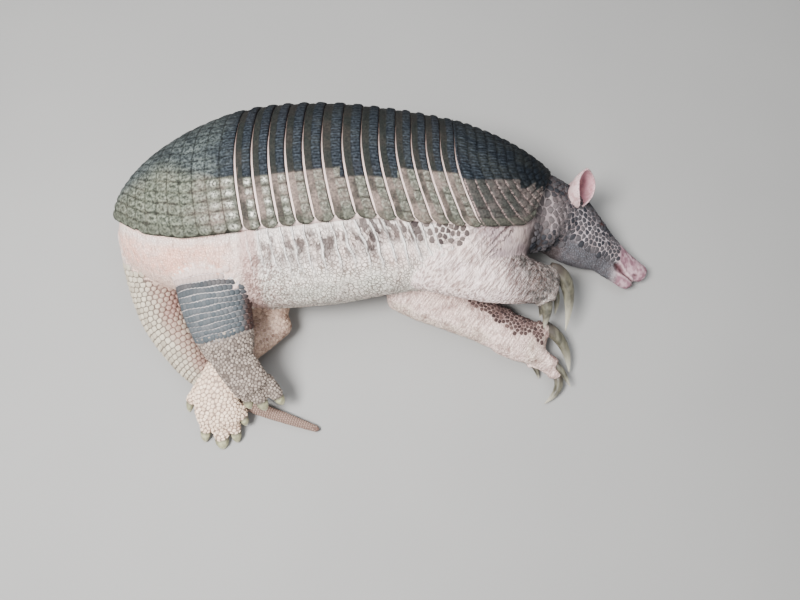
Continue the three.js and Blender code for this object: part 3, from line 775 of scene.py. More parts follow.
@dataclass
class ShellPlate:
    """One plate of the shell: a shield or a band, with its scutes raised on it.

    The plate runs from its rear edge to its front edge, which are functions of the angle from
    the back, and from one lower margin to the other.
    """

    name: str
    rear: Callable[[Array], Array]
    front: Callable[[Array], Array]
    plan: ScutePlan
    top_spans: int
    under_spans: int
    along: int
    wall: float
    sweep: Sweep = Sweep()
    inset: float = 0.8
    tight: tuple[bool, bool] = (True, True)

    def build(self, body: BodyForm, girth: Girth, space: Space) -> bpy.types.Object:
        """Makes the plate as a closed mesh with its masks."""
        mesh, u, side, top = sheet(self.top_spans, self.under_spans, self.along)
        x, angle, drop = self.spread(body, girth, u, side)
        height, masks = self.carve(body, girth, u, x, angle)
        edge = np.minimum(u, 1 - u) * (self.front(np.zeros(1))[0] - self.rear(np.zeros(1))[0])
        rounding = 1.0 * np.exp(-edge / 1.3)
        lift = np.where(top, height - rounding, -self.wall) - self.inset - drop
        points = body.lifted(x, angle, lift)
        points[:, 2] = np.maximum(points[:, 2], 0.3)
        set_points(mesh, space.to_frame(points))
        face_out(mesh)
        for name, values in masks.items():
            set_values(mesh, name, values)
        thing = make_object(self.name + "_scutes", mesh)
        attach(thing, BODY)
        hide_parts(self.name)
        return thing

    def spread(
        self, body: BodyForm, girth: Girth, u: Array, side: Array
    ) -> tuple[Array, Array, Array]:
        """Places the plate's grid on the body.

        Args:
            body: The body's outer surface.
            girth: Lengths round the body.
            u: Share of the way from the rear edge to the front edge.
            side: Share of the way from the back to a margin, right side positive.

        Returns:
            X, angle from the back, and how far the plate's rim is turned in there.
        """
        middle = float(self.rear(np.zeros(1))[0] + self.front(np.zeros(1))[0]) / 2
        x = np.full_like(u, middle)
        angle = side * body.margin(x)
        for _ in range(3):
            _, part = self.rows_at(u, x, angle)
            notch = self.plan.notch * np.abs(2 * part - 1) ** 2.6
            hem = self.hem(girth, x, angle)
            gap = self.gap(angle, hem)
            low = self.rear(angle) + gap * self.tight[0]
            high = self.front(angle) - gap * self.tight[1]
            x = low + (high - low) * u
            reach = body.margin(x) - notch * np.exp(-hem / 7) / 118.0
            angle = side * reach
        hem = self.hem(girth, x, angle)
        return x, angle, 2.4 * np.exp(-hem / 4.0)

    def gap(self, angle: Array, hem: Array) -> Array:
        """Half the width of bare skin between two bands."""
        turn = np.abs(angle)
        return 0.2 + 1.4 * ease(0.55, 1.3, turn) - 0.8 * ease(24.0, 8.0, hem)

    def hem(self, girth: Girth, x: Array, angle: Array) -> Array:
        """The length up the side from the plate's lower margin."""
        return np.maximum(girth.rise(x, angle), 0.0)

    def rows_at(self, u: Array, x: Array, angle: Array) -> tuple[Array, Array]:
        """Row number and place within the row, from its rear joint to its front joint."""
        if self.plan.pitch:
            count = (self.sweep.back(x, angle) - self.sweep.start - self.sweep.length) / self.plan.pitch
            row = np.floor(count).astype(int)
            return row, count - row
        edges = np.array(self.plan.rows)
        row = np.clip(np.searchsorted(edges, u, side="right") - 1, 0, len(edges) - 2)
        return row, (u - edges[row]) / (edges[row + 1] - edges[row])

    def carve(
        self, body: BodyForm, girth: Girth, u: Array, x: Array, angle: Array
    ) -> tuple[Array, dict[str, Array]]:
        """Works out the relief of the scutes and the masks that colour them.

        Args:
            body: The body's outer surface.
            girth: Lengths round the body.
            u: Share of the way from the rear edge to the front edge.
            x: X on the body's axes.
            angle: The angle from the back.

        Returns:
            The height of the relief and the masks by name.
        """
        plan = self.plan
        row, part = self.rows_at(u, x, angle)
        hem = self.hem(girth, x, angle)
        wobble = Grain(24.0, 5).at(body.point(x, angle))
        tide = girth.rise(x, body.tide_angle(x))
        ahead = np.maximum(x, self.sweep.start)
        level = girth.rise(ahead, body.tide_angle(ahead))
        flank_rows = np.maximum(np.rint((level - plan.hem_pitch) / plan.flank_pitch), 0.0)
        tide_line = plan.hem_pitch + flank_rows * plan.flank_pitch
        offset = plan.brick * (row % 2)
        flank = 1 + (hem - plan.hem_pitch) / plan.flank_pitch + offset
        back = 1 + flank_rows + offset + (hem - tide_line) / plan.back_pitch
        count = np.where(hem < plan.hem_pitch, hem / plan.hem_pitch, flank)
        count = np.where(hem > tide_line, back, count)
        cell = np.floor(count)
        across = count - cell
        fading = ease(-140, -230, x)
        soft = 1.5 + 26 * fading
        line = tide_line + (tide - tide_line) * fading
        slate = ease(-1.0, 1.0, (hem - line - 0.3 * soft + 1 + 9 * wobble * fading) / soft)
        scute = ease(plan.strip, plan.strip + 0.08, part) if plan.strip else np.ones_like(u)
        inner = np.clip((part - plan.strip) / (1 - plan.strip), 0.0, 1.0)
        hump = 1 - np.abs(2 * inner - 1) ** 4
        swell = 1 - np.abs(2 * across - 1) ** 4
        joint = 1 - np.clip(hump * 2.6, 0, 1) * np.clip(swell * 2.6, 0, 1)
        dome = np.exp(-(((inner - 0.5) / 0.3) ** 2) - ((across - 0.5) / 0.3) ** 2)
        spot = np.hypot((inner - 0.5) / 0.30, (across - 0.52) / 0.24)
        # How strongly the painted highlights of the scutes show, most near X -112.
        highlight_reach = 0.14 + 0.86 * bell(x, -112, 72)
        comb_turn = (hem - tide_line) / 4.9 + 0.35 * np.sin(row * 2.1)
        comb = (0.5 + 0.5 * np.cos(2 * math.pi * comb_turn)) ** 3
        comb = comb * slate * scute * ease(0.02, 0.3, inner) * ease(*plan.comb, u)
        number = np.stack([row + 31 * side_of(angle), cell, 0 * row], axis=1).astype(np.int64)
        tone = Grain(1.0, 11).scatter(number)
        height = plan.relief * hump * swell * scute + 0.5 * plan.relief * dome * scute * (1 - 0.6 * slate)
        height += 0.5 * comb * (1 - joint) + 0.22 * tone * scute * (1 - joint)
        height += 0.16 * Grain(2.6, 3).at(body.point(x, angle)) + 0.25 * wobble
        height -= (1 - scute) * 0.45
        masks = {
            "slate": slate,
            "comb": comb,
            "joint": joint * scute,
            "strip": (1 - scute) * np.ones_like(u),
            "tone": tone,
            # The scutes' centres, where painted highlights lie.
            "centre": np.exp(-(spot**2)) * scute * highlight_reach * plan.pale,
            # A ring round each scute's dome, where painted highlights lie.
            "ring": bell(spot, 1.25, 0.32) * scute * (1 - 0.7 * plan.warm),
            "seam": plan.warm * np.exp(-((np.minimum(part, 1 - part) / 0.045) ** 2)) * (1 - slate),
            "warm": np.full_like(u, plan.warm),
            "rump": ease(-122, -215, x),
            "ash": ease(-118, -190, x),
            # The front edge of the bands' scutes, where painted shadow lies.
            "front": ease(0.8, 1.0, inner) * plan.front,
            "hem": ease(plan.hem_pitch * 1.05, plan.hem_pitch * 0.8, hem),
            # Near the spine, where painted shade darkens the scutes.
            "back": ease(1.0, 0.15, np.abs(angle)),
        }
        return height, masks


def side_of(angle: Array) -> Array:
    """1 on the animal's right and 0 on its left."""
    return (angle > 0).astype(int)


@dataclass
class Shell:
    """The whole shell: a pelvic shield, thirteen bands, a scapular shield and the skin between."""

    body: BodyForm
    girth: Girth
    space: Space
    sweep: Sweep = Sweep()
    widths: tuple[float, ...] = (25, 24.5, 24.5, 26, 28, 30, 28, 26, 25, 23.5, 22, 22, 22)
    rear_end: float = -359.0
    collar_end: float = 370.0
    collar_curve: float = 42.0

    band_plan: ScutePlan = ScutePlan((0.0, 1.0), 16.0, 9.8, 15.0, 0.38, 0.0, 6.0, 1.1, 1.0)

    def edge(self, x: float) -> Callable[[Array], Array]:
        """The line of a swept edge that crosses the back at x."""
        return lambda angle: self.sweep.at(x, angle)

    def gaps(self) -> list[float]:
        """X of every gap between two plates, on the back."""
        return [float(x) for x in self.sweep.start + np.concatenate([[0.0], np.cumsum(self.widths)])]

    def collar(self, angle: Array) -> Array:
        """The front edge of the scapular shield."""
        return self.collar_end - self.collar_curve * np.minimum(np.abs(angle) / (math.pi / 2), 1) ** 2

    def rump(self, angle: Array) -> Array:
        """The rear edge of the pelvic shield."""
        return np.full_like(angle, self.rear_end)

    def plates(self) -> list[ShellPlate]:
        """The plates from rear to front."""
        pelvic_rows = graded(13, 1.55)
        plates = [
            ShellPlate(
                "pelvic_shield",
                self.rump,
                self.edge(self.sweep.start),
                ScutePlan(pelvic_rows, 16.5, 15.5, 17.0, 0.0, 0.0, 7.0, 1.3, 0.0, (0.7, 1.0)),
                top_spans=172,
                under_spans=16,
                along=250,
                wall=6.2,
                tight=(False, True),
            )
        ]
        x = self.sweep.start
        for i, width in enumerate(self.widths):
            plates.append(
                ShellPlate(
                    f"band_{i + 1:02d}",
                    self.edge(x),
                    self.edge(x + width),
                    self.band_plan,
                    top_spans=20,
                    under_spans=2,
                    along=300,
                    wall=4.6,
                )
            )
            x += width
        plates.append(
            ShellPlate(
                "scapular_shield",
                self.edge(x),
                self.collar,
                ScutePlan((0.0, 1.0), 14.5, 13.0, 14.0, 0.0, 0.5, 4.0, 2.1, 0.0, (0.9, 0.2), 0.22, 1.0, 15.5),
                top_spans=118,
                under_spans=12,
                along=230,
                wall=6.2,
                tight=(True, False),
            )
        )
        return plates

    def build(self) -> list[bpy.types.Object]:
        """Makes every plate and the skin between the bands."""
        made = [plate.build(self.body, self.girth, self.space) for plate in self.plates()]
        made.append(self.hinge_skin())
        return made

    def hinge_skin(self) -> bpy.types.Object:
        """Makes the folded skin that shows between two bands."""
        mesh, u, side, top = sheet(190, 8, 130)
        first = self.sweep.start - 9
        last = self.sweep.start + sum(self.widths) + 9
        x = np.full_like(u, (first + last) / 2)
        for _ in range(3):
            angle = side * (self.body.margin(x) - 0.012)
            x = self.sweep.at(first, angle) * (1 - u) + self.sweep.at(last, angle) * u
        hem = self.girth.rise(x, angle)
        crease = Grain(3.0, 8).at(self.body.point(x, angle) * np.array([1.6, 0.5, 0.5]))
        depth = 2.7 + 5.5 * ease(6.0, -3.0, hem) + 0.35 * crease
        points = self.body.lifted(x, angle, -np.where(top, depth, depth + 2.5))
        points[:, 2] = np.maximum(points[:, 2], 0.8)
        set_points(mesh, self.space.to_frame(points))
        face_out(mesh)
        set_values(mesh, "fold", crease)
        # Near the spine, where painted shade darkens the skin between the bands.
        set_values(mesh, "back", ease(1.42, 0.78, np.abs(angle)))
        thing = make_object("hinge_skin", mesh)
        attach(thing, BODY)
        return thing


def graded(count: int, growth: float) -> tuple[float, ...]:
    """Edges of rows from 0 to 1 whose widths grow steadily to a multiple of the first."""
    widths = np.linspace(1.0, growth, count)
    return tuple(np.concatenate([[0.0], np.cumsum(widths)]) / widths.sum())


# ---------- flesh ----------


@dataclass(frozen=True)
class Loft:
    """A round-ended loft: rows of X, Y, Z, half thickness up and down, and half width across."""

    region: "Region"
    rows: Rows
    power: float = 2.0
    grow: float = -1.0

    def frame(self, t: Array) -> tuple[Array, Array, Array, Array]:
        """Rows, and the directions along, across and up, at places from 0 to 1."""
        ahead = spline(self.rows, np.minimum(t + 0.01, 1.0))[:, :3]
        behind = spline(self.rows, np.maximum(t - 0.01, 0.0))[:, :3]
        along = unit(ahead - behind)
        across = unit(np.cross(np.array([[0.0, 0.0, 1.0]]), along))
        return spline(self.rows, t), along, across, np.cross(along, across)

    def point(self, s: Array, angle: Array) -> Array:
        """Points of the surface; s runs a little past 0 and 1 over the rounded ends."""
        t = np.clip(s, 0.0, 1.0)
        over = np.clip(np.maximum(s - 1, -s) / self.cap(), 0.0, 0.97) * math.pi / 2
        row, along, across, up = self.frame(t)
        thick, wide = row[:, 3:4], row[:, 4:5]
        push = 0.55 * np.minimum(thick, wide) * (np.sin(over) * np.sign(s - 0.5))[:, None]
        size = np.cos(over)[:, None]
        c, n = (bowed(way, 2 / self.power)[:, None] for way in (np.cos(angle), np.sin(angle)))
        side = across * c * (wide + self.grow) + up * n * (thick + self.grow)
        return row[:, :3] + along * push + side * size

    def cap(self) -> float:
        """The length of a rounded end as a share of the loft's length."""
        table = np.array(self.rows, float)
        length = np.linalg.norm(np.diff(table[:, :3], axis=0), axis=1).sum()
        return float(0.55 * table[:, 3:5].mean() / length)

    def tube(self, step: float) -> tuple[bpy.types.Mesh, Array]:
        """Makes the loft as a closed mesh, with its points on the body's axes."""
        table = np.array(self.rows, float)
        length = np.linalg.norm(np.diff(table[:, :3], axis=0), axis=1).sum()
        around = int(max(12, 6.3 * table[:, 3:5].mean() / step))
        mesh, turn, place = sleeve(around, int(max(6, length / step)))
        s = place * (1 + 2 * self.cap()) - self.cap()
        return mesh, self.point(s, turn * 2 * math.pi)

    def locate(self, points: Array) -> tuple[Array, Array, Array]:
        """Places points on the loft.

        Args:
            points: Points near the loft.

        Returns:
            Share of the length, angle around from across, and millimetres along.
        """
        t = np.linspace(0.0, 1.0, 90)
        axis = spline(self.rows, t)[:, :3]
        miles = np.concatenate([[0.0], np.cumsum(np.linalg.norm(np.diff(axis, axis=0), axis=1))])
        gap = ((points[:, None, :] - axis[None, :, :]) ** 2).sum(axis=2)
        k = np.clip(gap.argmin(axis=1), 1, len(t) - 2)
        leg = axis[k + 1] - axis[k - 1]
        part = ((points - axis[k - 1]) * leg).sum(axis=1) / (leg**2).sum(axis=1)
        found = t[k - 1] + (t[k + 1] - t[k - 1]) * np.clip(part, -1.0, 2.0)
        row, _, across, up = self.frame(np.clip(found, 0, 1))
        out = points - row[:, :3]
        angle = np.arctan2((out * up).sum(axis=1), (out * across).sum(axis=1))
        return found, angle, np.interp(found, t, miles)


class Region(Enum):
    """The parts of the skin that have their own marks."""

    TRUNK = 0
    NECK = 1
    HEAD = 2
    JAW = 3
    TAIL = 4
    LEFT_ARM = 5
    RIGHT_ARM = 6
    LEFT_LEG = 7
    RIGHT_LEG = 8
    LEFT_HAND = 9
    RIGHT_HAND = 10
    LEFT_FOOT = 11
    RIGHT_FOOT = 12


TAIL: Rows = (
    (-306, -62, 104, 50, 48),
    (-304, -104, 82, 46, 46),
    (-301, -148, 56, 42, 43),
    (-288, -194, 39, 39, 40),
    (-263, -238, 32, 33, 34),
    (-229, -282, 25, 26, 27),
    (-186, -316, 17, 18, 18),
    (-131, -345, 11.5, 12, 12.5),
    (-72, -366, 9.5, 9.5, 10),
    (-24, -382, 6.2, 6.2, 6.8),
)

NECK: Rows = ((338, -22, 98, 62, 74), (360, -19, 85, 57, 66), (382, -20, 72, 53, 60))

HEAD: Rows = (
    (374, -18, 73, 54, 62),
    (402, -33, 57, 51, 62),
    (426, -49, 47, 47, 57),
    (455, -65, 37, 39, 46),
    (484, -79, 29, 29, 33),
    (514, -95, 23, 21, 24),
    (545, -111, 19, 16, 17),
)

JAW: Rows = ((472, -100, 30, 18, 15), (496, -114, 24, 15, 14), (519, -127, 20, 12, 12))

LEFT_ARM: Sequence[Rows] = (
    ((215, -62, 78, 44, 50), (165, -104, 52, 40, 42), (122, -140, 37, 37, 37)),
    (
        (114, -146, 35, 36, 36),
        (152, -160, 35, 36, 40),
        (200, -178, 34, 35, 39),
        (250, -196, 32, 33, 39),
        (292, -214, 30, 31, 40),
    ),
)

RIGHT_ARM: Sequence[Rows] = (
    ((250, -48, 150, 50, 62), (205, -92, 152, 44, 58), (160, -126, 146, 40, 50)),
    (
        (150, -126, 141, 38, 46),
        (195, -132, 136, 40, 49),
        (250, -139, 122, 38, 49),
        (300, -144, 108, 32, 45),
        (336, -148, 99, 27, 38),
    ),
)

LEFT_LEG: Sequence[Rows] = (
    ((-205, -75, 78, 50, 58), (-150, -136, 52, 44, 50), (-106, -188, 38, 38, 38)),
    ((-100, -196, 37, 36, 36), (-128, -228, 42, 29, 32), (-156, -258, 52, 24, 28), (-182, -283, 60, 19, 24)),
)

RIGHT_LEG: Sequence[Rows] = (
    (
        (-186, -95, 146, 50, 62),
        (-178, -148, 148, 44, 61),
        (-172, -192, 142, 38, 55),
        (-162, -232, 128, 31, 49),
        (-152, -266, 113, 24, 40),
    ),
)


@dataclass(frozen=True)
class Foot:
    """A foot: the loft of its palm, its digits, and its claws from root through bend to tip."""

    region: Region
    leg: str
    claws_named: str
    palm: Rows
    digits: Sequence[Rows]
    claws: Sequence[tuple]

    def lofts(self) -> list[Loft]:
        """The lofts of the palm and digits."""
        palm = Loft(self.region, self.palm, power=2.4)
        return [palm] + [Loft(self.region, rows) for rows in self.digits]


LEFT_HAND = Foot(
    Region.LEFT_HAND,
    "forefoot_left",
    "claw_front_left",
    ((292, -220, 31, 31, 38), (325, -232, 30, 27, 40), (350, -247, 27, 22, 32)),
    (
        ((330, -255, 20, 13, 13), (346, -274, 14, 8, 8)),
        ((345, -252, 30, 16, 17), (380, -274, 30, 11, 10)),
        ((334, -222, 34, 16, 18), (368, -212, 34, 13, 14)),
        ((348, -258, 24, 17, 18), (386, -292, 18, 11, 11)),
        ((330, -250, 16, 12, 12), (352, -262, 9, 7, 7)),
    ),
    (
        ((346, -274, 14), (353, -284, 12), (356, -296, 6), 5, 5),
        ((378, -273, 31), (394, -288, 32), (406, -312, 20), 6, 7),
        ((366, -212, 34), (404, -232, 32), (406, -286, 18), 9, 12),
        ((384, -291, 18), (396, -314, 16), (363, -339, 6), 8, 9),
        ((350, -261, 9), (362, -268, 9), (368, -278, 5), 4, 4),
    ),
)

RIGHT_HAND = Foot(
    Region.RIGHT_HAND,
    "forefoot_right",
    "claw_front_right",
    ((336, -148, 99, 27, 38), (354, -153, 92, 23, 33), (368, -157, 86, 18, 25)),
    (
        ((345, -165, 80, 10, 10), (352, -180, 68, 7, 7)),
        ((350, -160, 92, 15, 15), (356, -174, 88, 12, 12)),
        ((352, -140, 92, 16, 18), (374, -126, 88, 12, 14)),
        ((355, -150, 78, 12, 13), (374, -154, 68, 9, 9)),
        ((345, -150, 78, 10, 10), (356, -160, 66, 6, 6)),
    ),
    (
        ((352, -180, 68), (354, -190, 64), (352, -198, 56), 4, 5),
        ((356, -172, 89), (361, -194, 86), (358, -217, 56), 11, 9),
        ((374, -126, 88), (410, -140, 80), (398, -218, 42), 10, 14),
        ((376, -154, 68), (384, -164, 64), (380, -192, 48), 6, 7),
        ((356, -160, 66), (362, -168, 62), (362, -178, 56), 4, 4),
    ),
)

LEFT_FOOT = Foot(
    Region.LEFT_FOOT,
    "hindfoot_left",
    "claw_hind_left",
    ((-182, -283, 62, 19, 24), (-186, -318, 60, 16, 33), (-186, -350, 46, 15, 39), (-186, -372, 34, 13, 35)),
    (
        ((-152, -345, 40, 11, 12), (-147, -362, 28, 9, 10)),
        ((-166, -366, 29, 12, 13), (-161, -386, 14, 10, 11)),
        ((-187, -372, 27, 13, 15), (-185, -396, 11, 11, 13)),
        ((-208, -364, 29, 12, 13), (-212, -384, 14, 10, 11)),
        ((-210, -310, 52, 12, 13), (-234, -336, 35, 11, 11)),
    ),
    (
        ((-147, -362, 27), (-145, -371, 23), (-144, -376, 12), 8, 6),
        ((-161, -386, 14), (-160, -398, 11), (-160, -404, 0), 9, 6),
        ((-185, -396, 11), (-184, -408, 9), (-184, -415, -1), 12, 7),
        ((-212, -384, 14), (-214, -396, 11), (-215, -403, 0), 9, 6),
        ((-234, -336, 34), (-239, -347, 29), (-240, -354, 17), 8, 6),
    ),
)

RIGHT_FOOT = Foot(
    Region.RIGHT_FOOT,
    "hindfoot_right",
    "claw_hind_right",
    ((-156, -268, 112, 22, 32), (-138, -294, 96, 18, 33), (-122, -318, 80, 16, 31)),
    (
        ((-130, -300, 74, 11, 12), (-112, -312, 54, 8, 9)),
        ((-108, -314, 62, 10, 10), (-97, -327, 44, 8, 8)),
        ((-104, -304, 73, 13, 14), (-86, -329, 53, 12, 12)),
        ((-126, -308, 80, 14, 15), (-112, -337, 62, 13, 14)),
        ((-138, -312, 84, 12, 12), (-131, -338, 70, 10, 10)),
    ),
    (
        ((-112, -312, 54), (-107, -317, 48), (-104, -320, 40), 6, 5),
        ((-97, -327, 44), (-93, -332, 39), (-91, -335, 31), 6, 5),
        ((-86, -330, 53), (-80, -338, 49), (-78, -343, 40), 9, 6),
        ((-111, -339, 62), (-106, -348, 58), (-104, -353, 49), 10, 6),
        ((-131, -339, 70), (-129, -347, 67), (-127, -351, 58), 8, 6),
    ),
)

FEET = (LEFT_HAND, RIGHT_HAND, LEFT_FOOT, RIGHT_FOOT)
FLESH_NODES = (
    "trunk",
    "neck",
    "head",
    "lower_jaw",
    "tail",
    "foreleg_left",
    "foreleg_right",
    "hindleg_left",
    "hindleg_right",
) + tuple(foot.leg for foot in FEET)


@dataclass
class Flesh:
    """The skin: lofts of every fleshy part made into one closed surface."""

    body: BodyForm
    girth: Girth
    space: Space
    depth: float = 10.2
    voxel: float = 3.4
    lofts: list[Loft] = field(default_factory=list)

    def __post_init__(self) -> None:
        """Lists the lofts."""
        single = ((Region.NECK, NECK), (Region.HEAD, HEAD), (Region.JAW, JAW), (Region.TAIL, TAIL))
        self.lofts = [Loft(region, rows) for region, rows in single]
        limbs = (
            (Region.LEFT_ARM, LEFT_ARM),
            (Region.RIGHT_ARM, RIGHT_ARM),
            (Region.LEFT_LEG, LEFT_LEG),
            (Region.RIGHT_LEG, RIGHT_LEG),
        )
        for region, parts in limbs:
            self.lofts += [Loft(region, rows) for rows in parts]
        for foot in FEET:
            self.lofts += foot.lofts()

    def trunk_tube(self) -> tuple[bpy.types.Mesh, Array]:
        """The trunk as a closed mesh, with its points on the body's axes."""
        mesh, turn, place = sleeve(150, 150)
        ends = np.array(self.body.stations, float)[[0, -1], 0]
        x = ends[0] + 6 + (ends[1] - ends[0] - 12) * place
        x -= 9 * np.sin(2 * math.pi * place)
        return mesh, self.body.lifted(x, turn * 2 * math.pi, -self.depth)

    def rough(self) -> bpy.types.Mesh:
        """All the lofts as one surface of even small squares."""
        bm = bmesh.new()
        for mesh, points in [self.trunk_tube()] + [loft.tube(4.0) for loft in self.lofts]:
            set_points(mesh, self.space.to_frame(points))
            face_out(mesh)
            bm.from_mesh(mesh)
            bpy.data.meshes.remove(mesh)
        joined = bpy.data.meshes.new("flesh")
        bm.to_mesh(joined)
        bm.free()
        thing = make_object("flesh", joined)
        remesh = thing.modifiers.new("squares", "REMESH")
        remesh.mode = "VOXEL"
        remesh.voxel_size = self.voxel * MM
        return baked(thing)

    def hidden(self, points: Array, reach: float = 14.0) -> Array:
        """Whether points lie well under the shell."""
        x = np.clip(points[:, 0], *SHELL_SPAN)
        angle = self.body.angle_of(points)
        hem = self.girth.rise(x, angle)
        back, _, half, level = self.body.sections(x)
        dorsal, right = self.body.in_plane(points)
        out = np.hypot(dorsal - level, right)
        under = out < 1.02 * np.maximum(np.abs(back - level), half)
        ends = (points[:, 0] > -340) & (points[:, 0] < 326 - 42 * np.minimum(np.abs(angle) / 1.57, 1) ** 2)
        return (hem > reach) & ends & under

    def regions(self, points: Array) -> tuple[Array, Array]:
        """Finds which part of the body each point belongs to.

        Args:
            points: Points on the skin, on the body's axes.

        Returns:
            The number of the loft, with 0 for the trunk, and the region's number.
        """
        s, angle = np.meshgrid(np.linspace(0.0, 1.0, 46), np.linspace(0, 2 * math.pi, 28)[:-1])
        s, angle = s.ravel(), angle.ravel()
        x, turn = np.meshgrid(np.linspace(-350, 380, 110), np.linspace(0, 2 * math.pi, 90)[:-1])
        clouds = [self.body.lifted(x.ravel(), turn.ravel(), -self.depth)]
        for loft in self.lofts:
            reach = s if loft.region in (Region.NECK, Region.HEAD) else s * 1.12 - 0.06
            clouds.append(loft.point(reach, angle))
        owner = np.concatenate([np.full(len(c), i) for i, c in enumerate(clouds)])
        tree = tree_of(np.vstack(clouds))
        number = np.array([owner[tree.find(p)[1]] for p in points])
        of_loft = np.array([0] + [loft.region.value for loft in self.lofts])
        return number, of_loft[number]


def baked(thing: bpy.types.Object) -> bpy.types.Mesh:
    """Applies an object's modifiers, removes the object and returns the mesh."""
    graph = bpy.context.evaluated_depsgraph_get()
    mesh = bpy.data.meshes.new_from_object(thing.evaluated_get(graph))
    old = thing.data
    bpy.data.objects.remove(thing)
    bpy.data.meshes.remove(old)
    return mesh


# ---------- marks of the skin ----------


@dataclass
class Places:
    """Where points of the skin lie: their part of the body and how far along and around it."""

    points: Array
    normals: Array
    region: Array
    share: Array
    around: Array
    miles: Array
    turn: Array
    below: Array

    def on(self, *regions: Region) -> Array:
        """1 for points of the named parts and 0 elsewhere."""
        return np.isin(self.region, [region.value for region in regions]).astype(float)


def plain_colour(colour: Colour, count: int) -> Array:
    """The same colour for a number of points."""
    return np.tile(np.array(colour), (count, 1))


def blend(base: Array, over: Array | Colour, share: Array) -> Array:
    """Lays a colour over others by its share at each point."""
    k = np.clip(share, 0.0, 1.0)[:, None]
    return base * (1 - k) + np.asarray(over, float) * k


